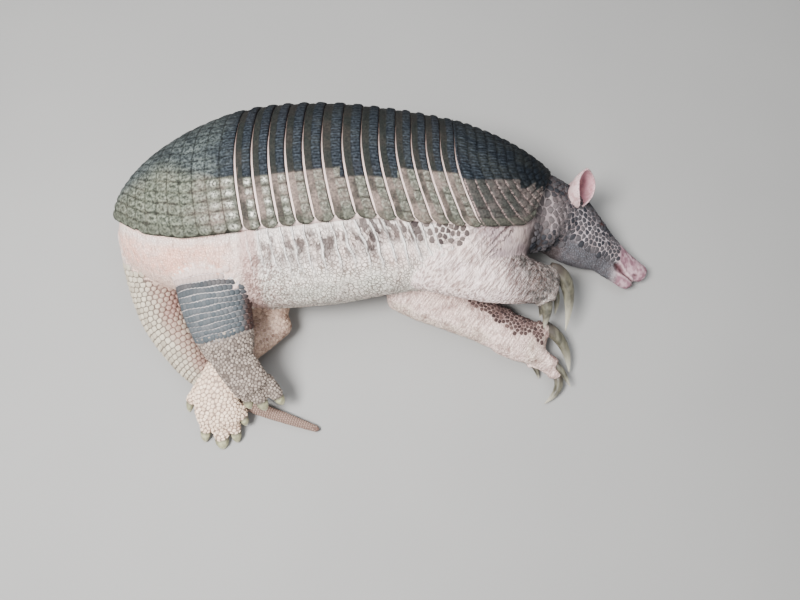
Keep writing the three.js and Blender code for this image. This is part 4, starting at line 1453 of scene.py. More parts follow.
@dataclass(frozen=True)
class Marks:
    """The colours of the skin and of its scales, and the fine relief that goes with them."""

    body: BodyForm
    sweep: Sweep
    edges: Sequence[float]
    pink: Colour = (0.86, 0.68, 0.62)
    pale: Colour = (0.95, 0.90, 0.86)
    rose: Colour = (0.94, 0.55, 0.43)
    mauve: Colour = (0.25, 0.170, 0.195)
    # Colour of the painted shade in the crease under the front of the shield.
    painted_shade: Colour = (0.052, 0.041, 0.042)
    lip_corner: Colour = (491.5, -103.0, 37.0)

    def colours(self, at: Places) -> Array:
        """The skin's colour at each place."""
        p = at.points
        coarse = Grain(38.0, 21).at(p)
        middle = Grain(13.0, 22).at(p)
        fine = Grain(4.5, 23).at(p)
        out = plain_colour(self.pink, len(p))
        out = blend(out, self.pale, 0.5 + 0.5 * coarse + 0.25 * middle)
        out = self.flank(at, out, coarse, middle, fine)
        out = self.limbs(at, out, coarse, middle, fine)
        out = self.head(at, out, middle, fine)
        return np.clip(out * (1 + 0.10 * fine + 0.06 * middle)[:, None], 0.01, 0.95)

    def band(self, at: Places) -> Array:
        """The place on the flank in bands, a whole number where a gap of the shell is carried on."""
        low = np.maximum(np.abs(at.turn) - 0.9, 0) / (math.pi / 2 - 0.9)
        bend = 1.9 * (1 - np.exp(-(low**2) / 1.55))
        reach = 13.0 + 18.0 * np.clip((at.points[:, 0] + 128) / 330, 0, 1)
        lead = at.points[:, 0] - reach * bend + 3.6 * Grain(28.0, 41).at(at.points)
        steps = np.array(self.edges)
        past = np.minimum(lead - steps[0], 0.0) + np.maximum(lead - steps[-1], 0.0)
        return np.interp(lead, steps, np.arange(len(steps))) + past / 25

    def pleat(self, at: Places) -> Array:
        """The place on the flank in pleats, a whole number on the line of each."""
        return 1.5 * self.band(at) + 0.12 * Grain(16.0, 42).at(at.points)

    def ridges(self, at: Places) -> Array:
        """Pale lines that run down the flank, 1 on the line."""
        pleat = self.pleat(at)
        return np.exp(-((np.abs(pleat - np.rint(pleat)) * 17 / 3.0) ** 2))

    def ridged(self, at: Places) -> Array:
        """How plainly the pleats of the flank are lined with white."""
        x = at.points[:, 0]
        much = ease(-125, -92, x) * ease(215, 185, x) * ease(98, 52, at.below) * ease(-4.0, 3.0, at.below)
        return at.on(Region.TRUNK) * much * np.clip(0.9 + 0.5 * Grain(26.0, 50).at(at.points), 0, 1)

    def furrow(self, at: Places) -> Array:
        """How dark the flank is between its ridges."""
        x = at.points[:, 0]
        low = at.below + 9 * Grain(30.0, 44).at(at.points)
        rear = ease(-118, -70, x) * ease(110, 65, x) * bell(low, 34, 30)
        reach = 46 + 30 * bell(x, 66, 18)
        front = 1.25 * ease(46, 60, x) * ease(166, 138, x) * ease(reach, reach - 26, low)
        return at.on(Region.TRUNK) * np.maximum(rear, front) * ease(-8.0, 4.0, at.below)

    def scaly(self, at: Places) -> Array:
        """How plainly the flank is parted into fine upright scales."""
        x = at.points[:, 0]
        flank = ease(-150, -90, x) * ease(250, 205, x) * ease(0.0, 8.0, at.below)
        ring = ease(150, 185, x) * ease(262, 235, x) * ease(58, 34, at.below)
        much = 0.42 + 0.3 * self.furrow(at) + 0.35 * ring + 0.5 * ease(45, 80, at.below)
        return at.on(Region.TRUNK) * np.clip(flank * much, 0, 1)

    def slant(self, at: Places) -> Array:
        """How plainly fine wrinkles cross the limb or the crease of the thigh."""
        x = at.points[:, 0]
        fan = at.on(Region.TRUNK) * bell(x, -92, 36) * ease(24, 50, at.below)
        arms = at.on(Region.RIGHT_ARM) * (0.85 + 0.15 * ease(240, 300, x))
        arms += 0.6 * at.on(Region.LEFT_ARM, Region.LEFT_HAND) * (1 - self.cuff(at))
        return np.maximum(arms, fan)

    def patches(self, at: Places) -> Array:
        """Where the flank carries dark many-sided scales, above 0."""
        x = at.points[:, 0]
        drop = 26 + 18 * ease(110, 160, x) + 10 * Grain(22.0, 31).at(at.points)
        span = ease(106, 136, x) * ease(232, 205, x)
        pleat = self.pleat(at)
        lines = 1 - ease(0.33, 0.22, np.abs(pleat - np.rint(pleat))) * ease(190, 160, x)
        return span * ease(drop, drop - 18, at.below) * at.on(Region.TRUNK) * ease(-6, 2, at.below) * lines

    def flank(self, at: Places, out: Array, coarse: Array, middle: Array, fine: Array) -> Array:
        """Belly, flank and rump."""
        p, x = at.points, at.points[:, 0]
        on = at.on(Region.TRUNK, Region.NECK)
        out = blend(out, self.rose, on * ease(-100, -175, x) * (0.78 + 0.4 * coarse + 0.4 * fine))
        flow = np.stack([self.band(at) * 25, at.below * 0.22, p[:, 2] * 0.25], axis=1)
        streak = Grain(6.0, 24).at(flow)
        dark = plain_colour((0.140, 0.125, 0.112), len(p))
        dark = blend(dark, (0.105, 0.084, 0.088), ease(20, 90, x))
        furrow = self.furrow(at) * (0.46 + 0.3 * middle + 0.5 * streak)
        out = blend(out, dark, furrow)
        wrinkled = at.on(Region.TRUNK) * ease(0.0, 0.45, streak) * ease(-150, -90, x) * ease(290, 230, x)
        out = blend(out, (0.42, 0.345, 0.325), wrinkled * 0.45)
        out = blend(out, (0.94, 0.89, 0.85), self.ridges(at) * self.ridged(at) * 0.7)
        hem = at.on(Region.TRUNK) * bell(at.below, 8, 9) * ease(190, 150, x)
        out = blend(out, (0.95, 0.88, 0.84), hem * 0.6)
        chest = on * ease(198, 245, x) * ease(-6.0, 2.0, at.below)
        out = blend(out, self.mauve, chest * (0.72 + 0.3 * coarse + 0.25 * middle))
        # Greyer and then darker lower down the belly, towards the floor: painted shade.
        low = on * ease(58, 100, at.below) * ease(260, 200, x)
        out = blend(out, (0.84, 0.82, 0.73), low * (0.55 + 0.35 * coarse + 0.3 * fine))
        out = blend(out, (0.40, 0.39, 0.33), on * ease(96, 132, at.below) * (0.4 + 0.3 * middle + 0.3 * fine))
        collar = on * ease(302, 322, x + 6 * middle + 0.16 * at.points[:, 1])
        out = blend(out, (0.18, 0.150, 0.155), collar * 0.9)
        # Painted shade in the crease under the shield's front edge, on the top and the underside of the neck.
        shade = np.maximum(ease(-52, -80, at.points[:, 1]), ease(-22, 6, at.points[:, 1]))
        out = blend(out, self.painted_shade, collar * shade * (0.9 + 0.25 * middle))
        # A near-black patch of painted shadow in the gap between the right arm and the throat.
        crease = bell(np.hypot(x - 330, at.points[:, 1] + 92), 0.0, 26.0) * at.on(Region.TRUNK, Region.NECK)
        return blend(out, (0.010, 0.008, 0.008), crease * 0.9)

    def throat(self, at: Places) -> Array:
        """1 on the wrinkled grey throat and underside of the head."""
        low = ease(1.95, 2.25, np.abs(at.around)) * ease(512, 480, at.points[:, 0])
        return np.maximum(at.on(Region.HEAD) * low, at.on(Region.JAW) * ease(500, 478, at.points[:, 0]))

    def nose(self, at: Places) -> Array:
        """1 on the bare pink snout and lips."""
        x = at.points[:, 0] - 0.16 * (at.points[:, 1] + 95) + 2.5 * Grain(13.0, 22).at(at.points)
        return at.on(Region.HEAD, Region.JAW) * ease(492, 503, x)

    def head(self, at: Places, out: Array, middle: Array, fine: Array) -> Array:
        """Head, jaw and the front of the neck."""
        x = at.points[:, 0]
        on = np.maximum(at.on(Region.HEAD, Region.JAW), at.on(Region.NECK))
        net = plain_colour((0.47, 0.42, 0.45), len(x))
        net = blend(net, (0.29, 0.24, 0.25), 0.35 + middle)
        net = blend(net, (0.108, 0.112, 0.128), self.throat(at) * (0.95 + 0.05 * middle + 0.12 * fine))
        crown = ease(1.25, 0.65, np.abs(at.around)) * ease(405, 430, x) * ease(520, 490, x)
        net = blend(net, (0.012, 0.009, 0.009), crown * 0.95)
        nape = np.maximum(at.on(Region.NECK), at.on(Region.HEAD) * ease(398, 380, x))
        net = blend(net, (0.23, 0.19, 0.195), nape * 0.7)
        # Darker on the top of the neck under the shield's edge and on its underside: painted shade.
        net = blend(net, (0.060, 0.044, 0.044), nape * ease(-38, -2, at.points[:, 1]) * (0.9 + 0.2 * middle))
        net = blend(net, (0.085, 0.072, 0.074), nape * ease(-58, -84, at.points[:, 1]) * 0.85)
        out = blend(out, net, on)
        rosy = plain_colour((0.22, 0.115, 0.145), len(x))
        rosy = blend(rosy, (0.39, 0.260, 0.295), 0.3 + middle + fine)
        out = blend(out, rosy, self.nose(at))
        lids = self.lids(at)
        rim = ease(15.0, 9.0, lids) * (0.8 + 0.4 * fine) * at.on(Region.HEAD)
        out = blend(out, (0.085, 0.040, 0.038), rim)
        out = blend(out, (0.020, 0.010, 0.010), self.slit(at) * 0.9)
        # Near-black along the mouth line and in the nostrils: painted shade.
        shut = np.maximum(self.mouth(at), self.nostrils(at))
        edge = bell(self.near_lips(at), self.gape(at) + 2.0, 1.5) * self.nose(at)
        out = blend(out, (0.66, 0.50, 0.52), edge * 0.6)
        return blend(out, (0.040, 0.011, 0.013), shut * 0.95)

    def lids(self, at: Places) -> Array:
        """Millimetres from the middle of the nearer eye, stretched along the head."""
        out = np.full(len(at.points), 99.0)
        for eye in EYES:
            gap, ahead, _ = eye.slit(at.points)
            out = np.minimum(out, np.sqrt(np.maximum((gap**2).sum(axis=1) - 0.45 * ahead**2, 0.0)))
        return out

    def slit(self, at: Places) -> Array:
        """1 on the line where an eye's lids meet."""
        out = np.zeros(len(at.points))
        for eye in EYES:
            gap, long, off = eye.slit(at.points)
            near = ease(13.0, 9.5, np.linalg.norm(gap, axis=1)) * ease(0.0, 2.0, gap @ np.array(eye.gaze))
            out = np.maximum(out, bell(off, 0.0, 1.3) * ease(8.0, 5.5, np.abs(long)) * near)
        return out

    def limbs(self, at: Places, out: Array, coarse: Array, middle: Array, fine: Array) -> Array:
        """Legs, feet and tail."""
        x = at.points[:, 0]
        arm, left = at.on(Region.RIGHT_ARM), at.on(Region.LEFT_ARM, Region.LEFT_HAND)
        out = blend(out, (0.88, 0.72, 0.71), arm * (0.6 + 0.35 * coarse + 0.35 * middle))
        out = blend(out, self.mauve, arm * bell(x, 268, 34) * ease(-122, -100, at.points[:, 1]) * 0.85)
        wrist = arm * ease(258, 326, x + 14 * middle + 0.25 * (at.points[:, 1] + 148))
        out = blend(out, (0.91, 0.72, 0.66), left * 0.85)
        out = blend(out, (0.76, 0.67, 0.55), left * ease(0.0, 0.7, coarse + 0.4 * middle) * 0.7)
        out = blend(out, (0.34, 0.23, 0.215), left * ease(0.15, 0.65, middle + 0.5 * fine) * 0.6)
        fingers = at.on(Region.LEFT_HAND) * ease(330, 372, x)
        out = blend(out, (0.34, 0.225, 0.215), fingers * (0.5 + 0.6 * middle))
        out = blend(out, (0.30, 0.205, 0.195), self.cuff(at) * (0.8 + 0.3 * middle))
        # Dark grey hand and wrist: partly the skin's own grey, partly painted shade.
        hand = np.maximum(at.on(Region.RIGHT_HAND), wrist)
        out = blend(out, (0.105, 0.100, 0.096), hand * (0.84 + 0.3 * fine))
        for root, _, _, wide, _ in RIGHT_HAND.claws:
            away = np.linalg.norm(at.points - np.array(root, float), axis=1)
            ring = bell(away + 3 * fine, wide + 5.0, 3.4) * at.on(Region.RIGHT_HAND)
            out = blend(out, (0.66, 0.61, 0.57), ring * 0.9)
        thigh = at.on(Region.RIGHT_LEG)
        out = blend(out, (0.62, 0.60, 0.61), thigh * ease(0.26, 0.34, at.share) * 0.95)
        groin = at.on(Region.TRUNK) * ease(-60, -84, at.points[:, 1])
        front = np.maximum(thigh * ease(0.3, 0.4, at.share), groin)
        front = front * ease(-130, -118, x) * ease(-92, -104, x) * ease(0.8, 0.5, at.share)
        out = blend(out, (0.60, 0.40, 0.365), front * 0.8)
        out = blend(out, (0.085, 0.066, 0.057), thigh * ease(0.78, 0.86, at.share) * 0.95)
        hind = at.on(Region.LEFT_LEG)
        out = blend(out, (0.52, 0.35, 0.27), hind * (0.8 + 0.3 * coarse))
        feet = at.on(Region.LEFT_FOOT)
        out = blend(out, (0.27, 0.19, 0.15), feet * 0.95)
        out = blend(out, (0.075, 0.058, 0.050), at.on(Region.RIGHT_FOOT) * 0.95)
        tail = at.on(Region.TAIL)
        out = blend(out, (0.14, 0.125, 0.105), tail * ease(0.07, 0.15, at.share) * 0.95)
        # Pink-brown on the tail's inner side: partly its own colour, partly painted shade.
        inner = ease(0.15, 0.75, np.cos(at.around - 0.4)) * ease(0.72, 0.6, at.share)
        out = blend(out, (0.24, 0.145, 0.125), tail * inner * (0.8 + 0.3 * coarse))
        return blend(out, (0.17, 0.105, 0.085), tail * ease(0.66, 0.8, at.share) * 0.95)

    def cuff(self, at: Places) -> Array:
        """1 on the dark upper side of the left wrist and hand."""
        x = at.points[:, 0]
        rough = 12 * Grain(17.0, 51).at(at.points) + 9 * Grain(6.0, 52).at(at.points)
        edge = at.points[:, 1] + 186 + 0.52 * (x - 292) + rough - 16 * ease(262, 200, x)
        side = ease(-40, -14, edge)
        along = ease(176, 250, x) * ease(372, 345, x)
        return at.on(Region.LEFT_ARM, Region.LEFT_HAND) * side * along

    def beads(self, at: Places) -> Array:
        """How strongly the skin is beaded by fine scales at each place."""
        x = at.points[:, 0]
        out = 0.5 * at.on(Region.TRUNK) * ease(-90, -150, x)
        out = out + 0.5 * at.on(Region.LEFT_ARM, Region.LEFT_HAND)
        out = out + at.on(Region.RIGHT_ARM, Region.RIGHT_HAND) * (0.25 + 0.5 * ease(262, 330, x))
        out = out + 0.35 * at.on(Region.TAIL, Region.LEFT_LEG, Region.RIGHT_LEG)
        out = out + 0.5 * self.throat(at)
        return out + 0.12 * at.on(Region.HEAD, Region.JAW, Region.NECK) * (1 - self.nose(at))

    def relief(self, at: Places) -> Array:
        """Height of folds and wrinkles in millimetres."""
        p, x = at.points, at.points[:, 0]
        trunk = at.on(Region.TRUNK) * ease(0.0, 10.0, at.below)
        flow = np.stack([self.band(at) * 25, at.below * 0.35, p[:, 2] * 0.45], axis=1)
        fine = np.abs(Grain(8.0, 43).at(flow))
        height = trunk * (2.6 * self.ridges(at) * self.ridged(at) - 2.0 * fine * ease(300, 240, x))
        lines = np.stack([at.miles, at.around * 14, 0 * x], axis=1)
        height -= at.on(Region.RIGHT_ARM, Region.LEFT_ARM) * 1.5 * np.abs(Grain(8.0, 45).at(lines))
        hands = at.on(Region.LEFT_HAND, Region.RIGHT_HAND, Region.LEFT_FOOT, Region.RIGHT_FOOT)
        height -= hands * 1.2 * np.abs(Grain(6.0, 46).at(p))
        for foot in FEET[:2]:
            for root, _, _, wide, deep in foot.claws:
                away = np.linalg.norm(p - np.array(root, float), axis=1)
                height += hands * 2.1 * bell(away, max(wide, deep) + 3.0, 2.4)
        neck = at.on(Region.NECK, Region.HEAD) * ease(418, 385, x)
        folds = np.abs(np.sin((x + 0.5 * p[:, 1] + 5 * Grain(24.0, 47).at(p)) / 4.4))
        height += neck * 1.5 * (folds - 0.6)
        height -= self.throat(at) * 0.9 * np.abs(Grain(5.0, 48).at(p))
        height -= self.nose(at) * 0.8 * np.abs(Grain(4.5, 49).at(p))
        lobe = np.linalg.norm(p - np.array([512.0, -128.0, 24.0]), axis=1)
        height += 2.6 * self.nose(at) * at.on(Region.JAW) * ease(20.0, 8.0, lobe)
        height -= 4.2 * self.mouth(at) + 3.4 * self.nostrils(at)
        folds = np.cos(self.lids(at) / 0.62) * ease(19.0, 14.0, self.lids(at)) * ease(7.5, 9.0, self.lids(at))
        height += 0.5 * folds * at.on(Region.HEAD) - 1.5 * self.slit(at)
        return height + 1.4 * bell(self.near_lips(at), self.gape(at) + 3.0, 1.8) * self.nose(at)

    def near_lips(self, at: Places) -> Array:
        """Millimetres from the line where the lips meet, on both sides of the snout."""
        reach = self.past_corner(at)
        off = (at.points - np.array(self.lip_corner)) @ np.array([0.43, 0.78, 0.0]) + 0.16 * reach - 1.5
        return np.hypot(off, np.maximum(-reach, 0.0) * 1.2)

    def past_corner(self, at: Places) -> Array:
        """Millimetres ahead of the corner of the mouth, along the lips."""
        return (at.points - np.array(self.lip_corner)) @ np.array([0.78, -0.43, 0.0])

    def gape(self, at: Places) -> Array:
        """How wide the lips stand apart: most at the corner, least at the tip."""
        return 1.6 + 3.2 * bell(self.past_corner(at), 6.0, 9.0)

    def mouth(self, at: Places) -> Array:
        """1 along the line where the lips meet."""
        return bell(self.near_lips(at) / self.gape(at), 0.0, 1.0) * at.on(Region.HEAD, Region.JAW)

    def nostrils(self, at: Places) -> Array:
        """1 in the two nostrils."""
        out = np.zeros(len(at.points))
        for spot in ((530.0, -117.0, 31.0), (530.0, -117.0, 7.0)):
            gap = at.points - np.array(spot)
            long = gap @ np.array([0.80, -0.60, 0.0])
            out += bell(np.sqrt(np.maximum((gap**2).sum(axis=1) - 0.6 * long**2, 0.0)), 0.0, 3.0)
        return out * at.on(Region.HEAD)


# ---------- the skin as one surface ----------


@dataclass
class Skin:
    """The one skin, with its folds, its colours and the scales that stand on it."""

    flesh: Flesh
    marks: Marks

    def build(self) -> bpy.types.Object:
        """Makes the skin."""
        mesh = self.flesh.rough()
        log.info("rough skin %d faces", len(mesh.polygons))
        points = self.flesh.space.to_body(points_of(mesh))
        points = relax(points, edges_of(mesh), self.softness(points), 5)
        set_points(mesh, self.flesh.space.to_frame(points))
        mesh = self.thinned(mesh, self.flesh.hidden(points))
        mesh = self.refined(mesh)
        log.info("skin %d faces", len(mesh.polygons))
        points = self.flesh.space.to_body(points_of(mesh))
        edges = edges_of(mesh)
        points = relax(points, edges, np.full(len(points), 0.4), 2)
        set_points(mesh, self.flesh.space.to_frame(points))
        at = self.places(mesh)
        points = points + normals_of(mesh) * self.marks.relief(at)[:, None]
        points = self.lidded(points)
        points[:, 2] = np.maximum(points[:, 2], 0.0)
        set_points(mesh, self.flesh.space.to_frame(points))
        face_out(mesh)
        set_tint(mesh, "tint", self.marks.colours(at))
        marks = self.marks
        fields = {"bead": marks.beads, "scaly": marks.scaly, "slant": marks.slant}
        fields |= {"ridged": marks.ridged, "pleat": marks.pleat, "furrow": marks.furrow}
        for name, values in fields.items():
            set_values(mesh, name, values(at))
        flow = np.stack([self.marks.band(at) * 25, at.below, at.points[:, 2]], axis=1) * MM
        layer = mesh.attributes.new("flow", "FLOAT_VECTOR", "POINT")
        layer.data.foreach_set("vector", flow.astype(np.float32).ravel())
        thing = make_object("skin", mesh)
        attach(thing, BODY)
        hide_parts(*FLESH_NODES)
        self.at = self.places(mesh)
        return thing

    def lidded(self, points: Array) -> Array:
        """Lifts the skin over the balls of the eyes as lids, nearly shut along a slit."""
        for eye in EYES:
            gap, long, off = eye.slit(points)
            far = np.linalg.norm(gap, axis=1)
            lid = eye.radius + 1.4 - 1.9 * bell(off, 0.0, 1.5) * ease(7.0, 4.5, np.abs(long))
            push = np.maximum(lid - far, 0.0) * ease(-2.0, 1.0, gap @ np.array(eye.gaze) + 1.0)
            points = points + gap / np.maximum(far, 1e-6)[:, None] * push[:, None]
        return points

    def softness(self, points: Array) -> Array:
        """How much the joins are rounded off: fully on the body, hardly on thin parts."""
        slim = ease(40, 25, np.linalg.norm(points - np.array([-30.0, -372.0, 6.0]), axis=1) / 3.2)
        x, y = points[:, 0], points[:, 1]
        toes = np.maximum(ease(-300, -320, y) * ease(-60, -80, x), ease(-245, -262, y) * ease(320, 340, x))
        snout = ease(500, 515, x)
        return 0.5 - 0.34 * np.clip(slim + toes + snout, 0, 1)

    def thinned(self, mesh: bpy.types.Mesh, hidden: Array) -> bpy.types.Mesh:
        """Makes the squares under the shell coarse."""
        thing = make_object("thinned", mesh)
        group = thing.vertex_groups.new(name="hidden")
        group.add([int(i) for i in np.flatnonzero(hidden)], 1.0, "REPLACE")
        thin = thing.modifiers.new("thin", "DECIMATE")
        thin.vertex_group = "hidden"
        thin.vertex_group_factor = 1.0
        thin.ratio = float(1 - 0.9 * hidden.mean())
        return baked(thing)

    def refined(self, mesh: bpy.types.Mesh) -> bpy.types.Mesh:
        """Splits the squares of the head and the feet."""
        points = self.flesh.space.to_body(points_of(mesh))
        _, region = self.flesh.regions(points)
        fine = np.isin(region, [Region.HEAD.value, Region.JAW.value]) & (points[:, 0] > 434)
        fine |= np.isin(region, [Region.LEFT_HAND.value, Region.RIGHT_HAND.value])
        bm = bmesh.new()
        bm.from_mesh(mesh)
        bm.verts.ensure_lookup_table()
        chosen = [e for e in bm.edges if fine[e.verts[0].index] and fine[e.verts[1].index]]
        bmesh.ops.subdivide_edges(bm, edges=chosen, cuts=1, use_grid_fill=True)
        bm.to_mesh(mesh)
        bm.free()
        return mesh

    def places(self, mesh: bpy.types.Mesh) -> Places:
        """Finds where each point of the skin lies."""
        return self.locate(self.flesh.space.to_body(points_of(mesh)), normals_of(mesh))

    def locate(self, points: Array, normals: Array) -> Places:
        """Finds which part points belong to, and how far along and around it they lie."""
        number, region = self.flesh.regions(points)
        share, around, miles = np.zeros((3, len(points)))
        x = np.clip(points[:, 0], *SHELL_SPAN)
        turn = self.flesh.body.angle_of(points)
        below = -self.flesh.girth.rise(x, turn)
        for i, loft in enumerate(self.flesh.lofts):
            mine = np.flatnonzero(number == i + 1)
            if len(mine):
                share[mine], around[mine], miles[mine] = loft.locate(points[mine])
        return Places(points, normals, region, share, around, miles, turn, below)


# ---------- scales ----------


@dataclass(frozen=True)
class ScaleShape:
    """The shape of one horny scale, in millimetres."""

    height: float = 1.2
    sink: float = 1.4
    gap: float = 0.7
    crown: float = 0.62
    limit: float = 0.72
    sides: int = 10
    extra: float = 0.0
    tilt: float = 0.0

    def template(self) -> tuple[bpy.types.Mesh, Array, Array, Array]:
        """Makes the plain scale, with each point's side, share of the radius and level."""
        bm = bmesh.new()
        bmesh.ops.create_cone(bm, cap_ends=True, segments=self.sides, radius1=1.0, radius2=1.0, depth=1.0)
        top = max(bm.faces, key=lambda f: f.calc_center_median().z)
        bmesh.ops.inset_individual(bm, faces=[top], thickness=1 - self.crown, use_even_offset=False)
        bmesh.ops.poke(bm, faces=[top])
        mesh = bpy.data.meshes.new("scale")
        bm.to_mesh(mesh)
        bm.free()
        place = points_of(mesh)
        radius = np.hypot(place[:, 0], place[:, 1])
        turn = np.arctan2(place[:, 1], place[:, 0]) / (2 * math.pi) * self.sides
        side = np.rint(turn).astype(int) % self.sides
        share = np.where(radius > 0.95, 1.0, np.where(radius > 0.1, self.crown, 0.0))
        level = np.where(place[:, 2] < 0, -self.sink, np.where(share == 1.0, 0.3, 1.0))
        return mesh, side, share, level


@dataclass
class ScaleField:
    """Many scales joined in one mesh, each filling its cell among its neighbours."""

    name: str
    roots: Array
    normals: Array
    pitch: Array
    lean: Array
    tint: Array
    charts: Array
    shape: ScaleShape
    slot: str = "scales"

    def build(self, space: Space) -> bpy.types.Object:
        """Makes the mesh of all the scales."""
        plain, side, share, level = self.shape.template()
        across = unit(np.cross(self.lean, self.normals))
        ahead = np.cross(self.normals, across)
        angles = 2 * math.pi * np.arange(self.shape.sides) / self.shape.sides
        reach = self.cells(across, ahead, angles)
        count = len(self.roots)
        radius = reach[:, side] * share
        direction = (
            across[:, None, :] * np.cos(angles[side])[None, :, None]
            + ahead[:, None, :] * np.sin(angles[side])[None, :, None]
        )
        size = np.minimum(1.0, self.pitch / 8.0)[:, None]
        height = np.where(level < 0, level, level * self.shape.height)[None, :] * size
        height = height + (share * np.sin(angles[side]) * (level > 0) * self.shape.tilt)[None, :] * size
        points = self.roots[:, None, :] + direction * radius[:, :, None]
        points = points + self.normals[:, None, :] * height[:, :, None]
        mesh = self.tiled(plain, count)
        set_points(mesh, space.to_frame(points.reshape(-1, 3)))
        set_tint(mesh, "tint", np.repeat(self.tint, len(side), axis=0))
        set_values(mesh, "rim", np.tile(share, count))
        self.unwrap(mesh, plain)
        bpy.data.meshes.remove(plain)
        thing = make_object(self.name, mesh)
        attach(thing, BODY)
        return thing

    def cells(self, across: Array, ahead: Array, angles: Array) -> Array:
        """How far each scale reaches in each direction before it meets a neighbour's half."""
        tree = tree_of(self.roots)
        near = min(11, len(self.roots))
        reach = np.repeat(self.pitch[:, None] * self.shape.limit, len(angles), axis=1)
        found = np.array([[k for _, k, _ in tree.find_n(root, near)] for root in self.roots])
        for column in range(1, near):
            other = found[:, column]
            gap = self.roots[other] - self.roots
            a, b = (gap * across).sum(axis=1), (gap * ahead).sum(axis=1)
            far = np.hypot(a, b)
            facing = (self.normals[other] * self.normals).sum(axis=1) > 0.25
            towards = a[:, None] * np.cos(angles) + b[:, None] * np.sin(angles)
            towards = towards / np.maximum(far, 1e-6)[:, None]
            limit = far[:, None] / 2 / np.maximum(towards, 0.02)
            limit = np.where((towards > 0.02) & facing[:, None], limit, 1e3)
            reach = np.minimum(reach, limit)
        gap = self.shape.gap / 2 + self.shape.extra / 2 * np.sin(angles) ** 2
        return np.maximum(reach - gap[None, :], 0.3)

    def tiled(self, plain: bpy.types.Mesh, count: int) -> bpy.types.Mesh:
        """Repeats the plain scale's faces for every scale."""
        corners = np.empty(len(plain.loops), np.int64)
        plain.loops.foreach_get("vertex_index", corners)
        starts = np.empty(len(plain.polygons), np.int64)
        plain.polygons.foreach_get("loop_start", starts)
        step = np.arange(count)[:, None]
        mesh = bpy.data.meshes.new(self.name)
        mesh.vertices.add(count * len(plain.vertices))
        mesh.loops.add(count * len(corners))
        mesh.polygons.add(count * len(starts))
        links, starts = corners + step * len(plain.vertices), starts + step * len(corners)
        mesh.loops.foreach_set("vertex_index", links.ravel().astype(np.int32))
        mesh.polygons.foreach_set("loop_start", starts.ravel().astype(np.int32))
        mesh.update(calc_edges=True)
        return mesh

    def unwrap(self, mesh: bpy.types.Mesh, plain: bpy.types.Mesh) -> None:
        """Gives each scale a small patch at its root's place on the skin's unwrap."""
        corners = np.empty(len(plain.loops), np.int64)
        plain.loops.foreach_get("vertex_index", corners)
        flat = points_of(plain)[corners][:, :2] * 0.0015
        patch = self.charts[:, None, :] + flat[None, :, :]
        layer = mesh.uv_layers.new(name="OFBake")
        layer.data.foreach_set("uv", patch.reshape(-1).astype(np.float32))


def charted(at: Places) -> Array:
    """Places points on an unwrap of the skin: a strip for each part, along and around it."""
    column, row = at.region % 4, at.region // 4
    trunk = at.region == Region.TRUNK.value
    along = np.where(trunk, (at.points[:, 0] + 370) / 760, np.clip(at.share, -0.1, 1.1) / 1.2 + 0.09)
    around = np.where(trunk, at.turn, at.around) / (2 * math.pi) + 0.5
    u = (column + 0.04 + 0.92 * np.clip(along, 0, 1)) / 4
    v = (row + 0.04 + 0.92 * np.clip(around, 0, 1)) / 4
    return np.stack([u, v], axis=1)


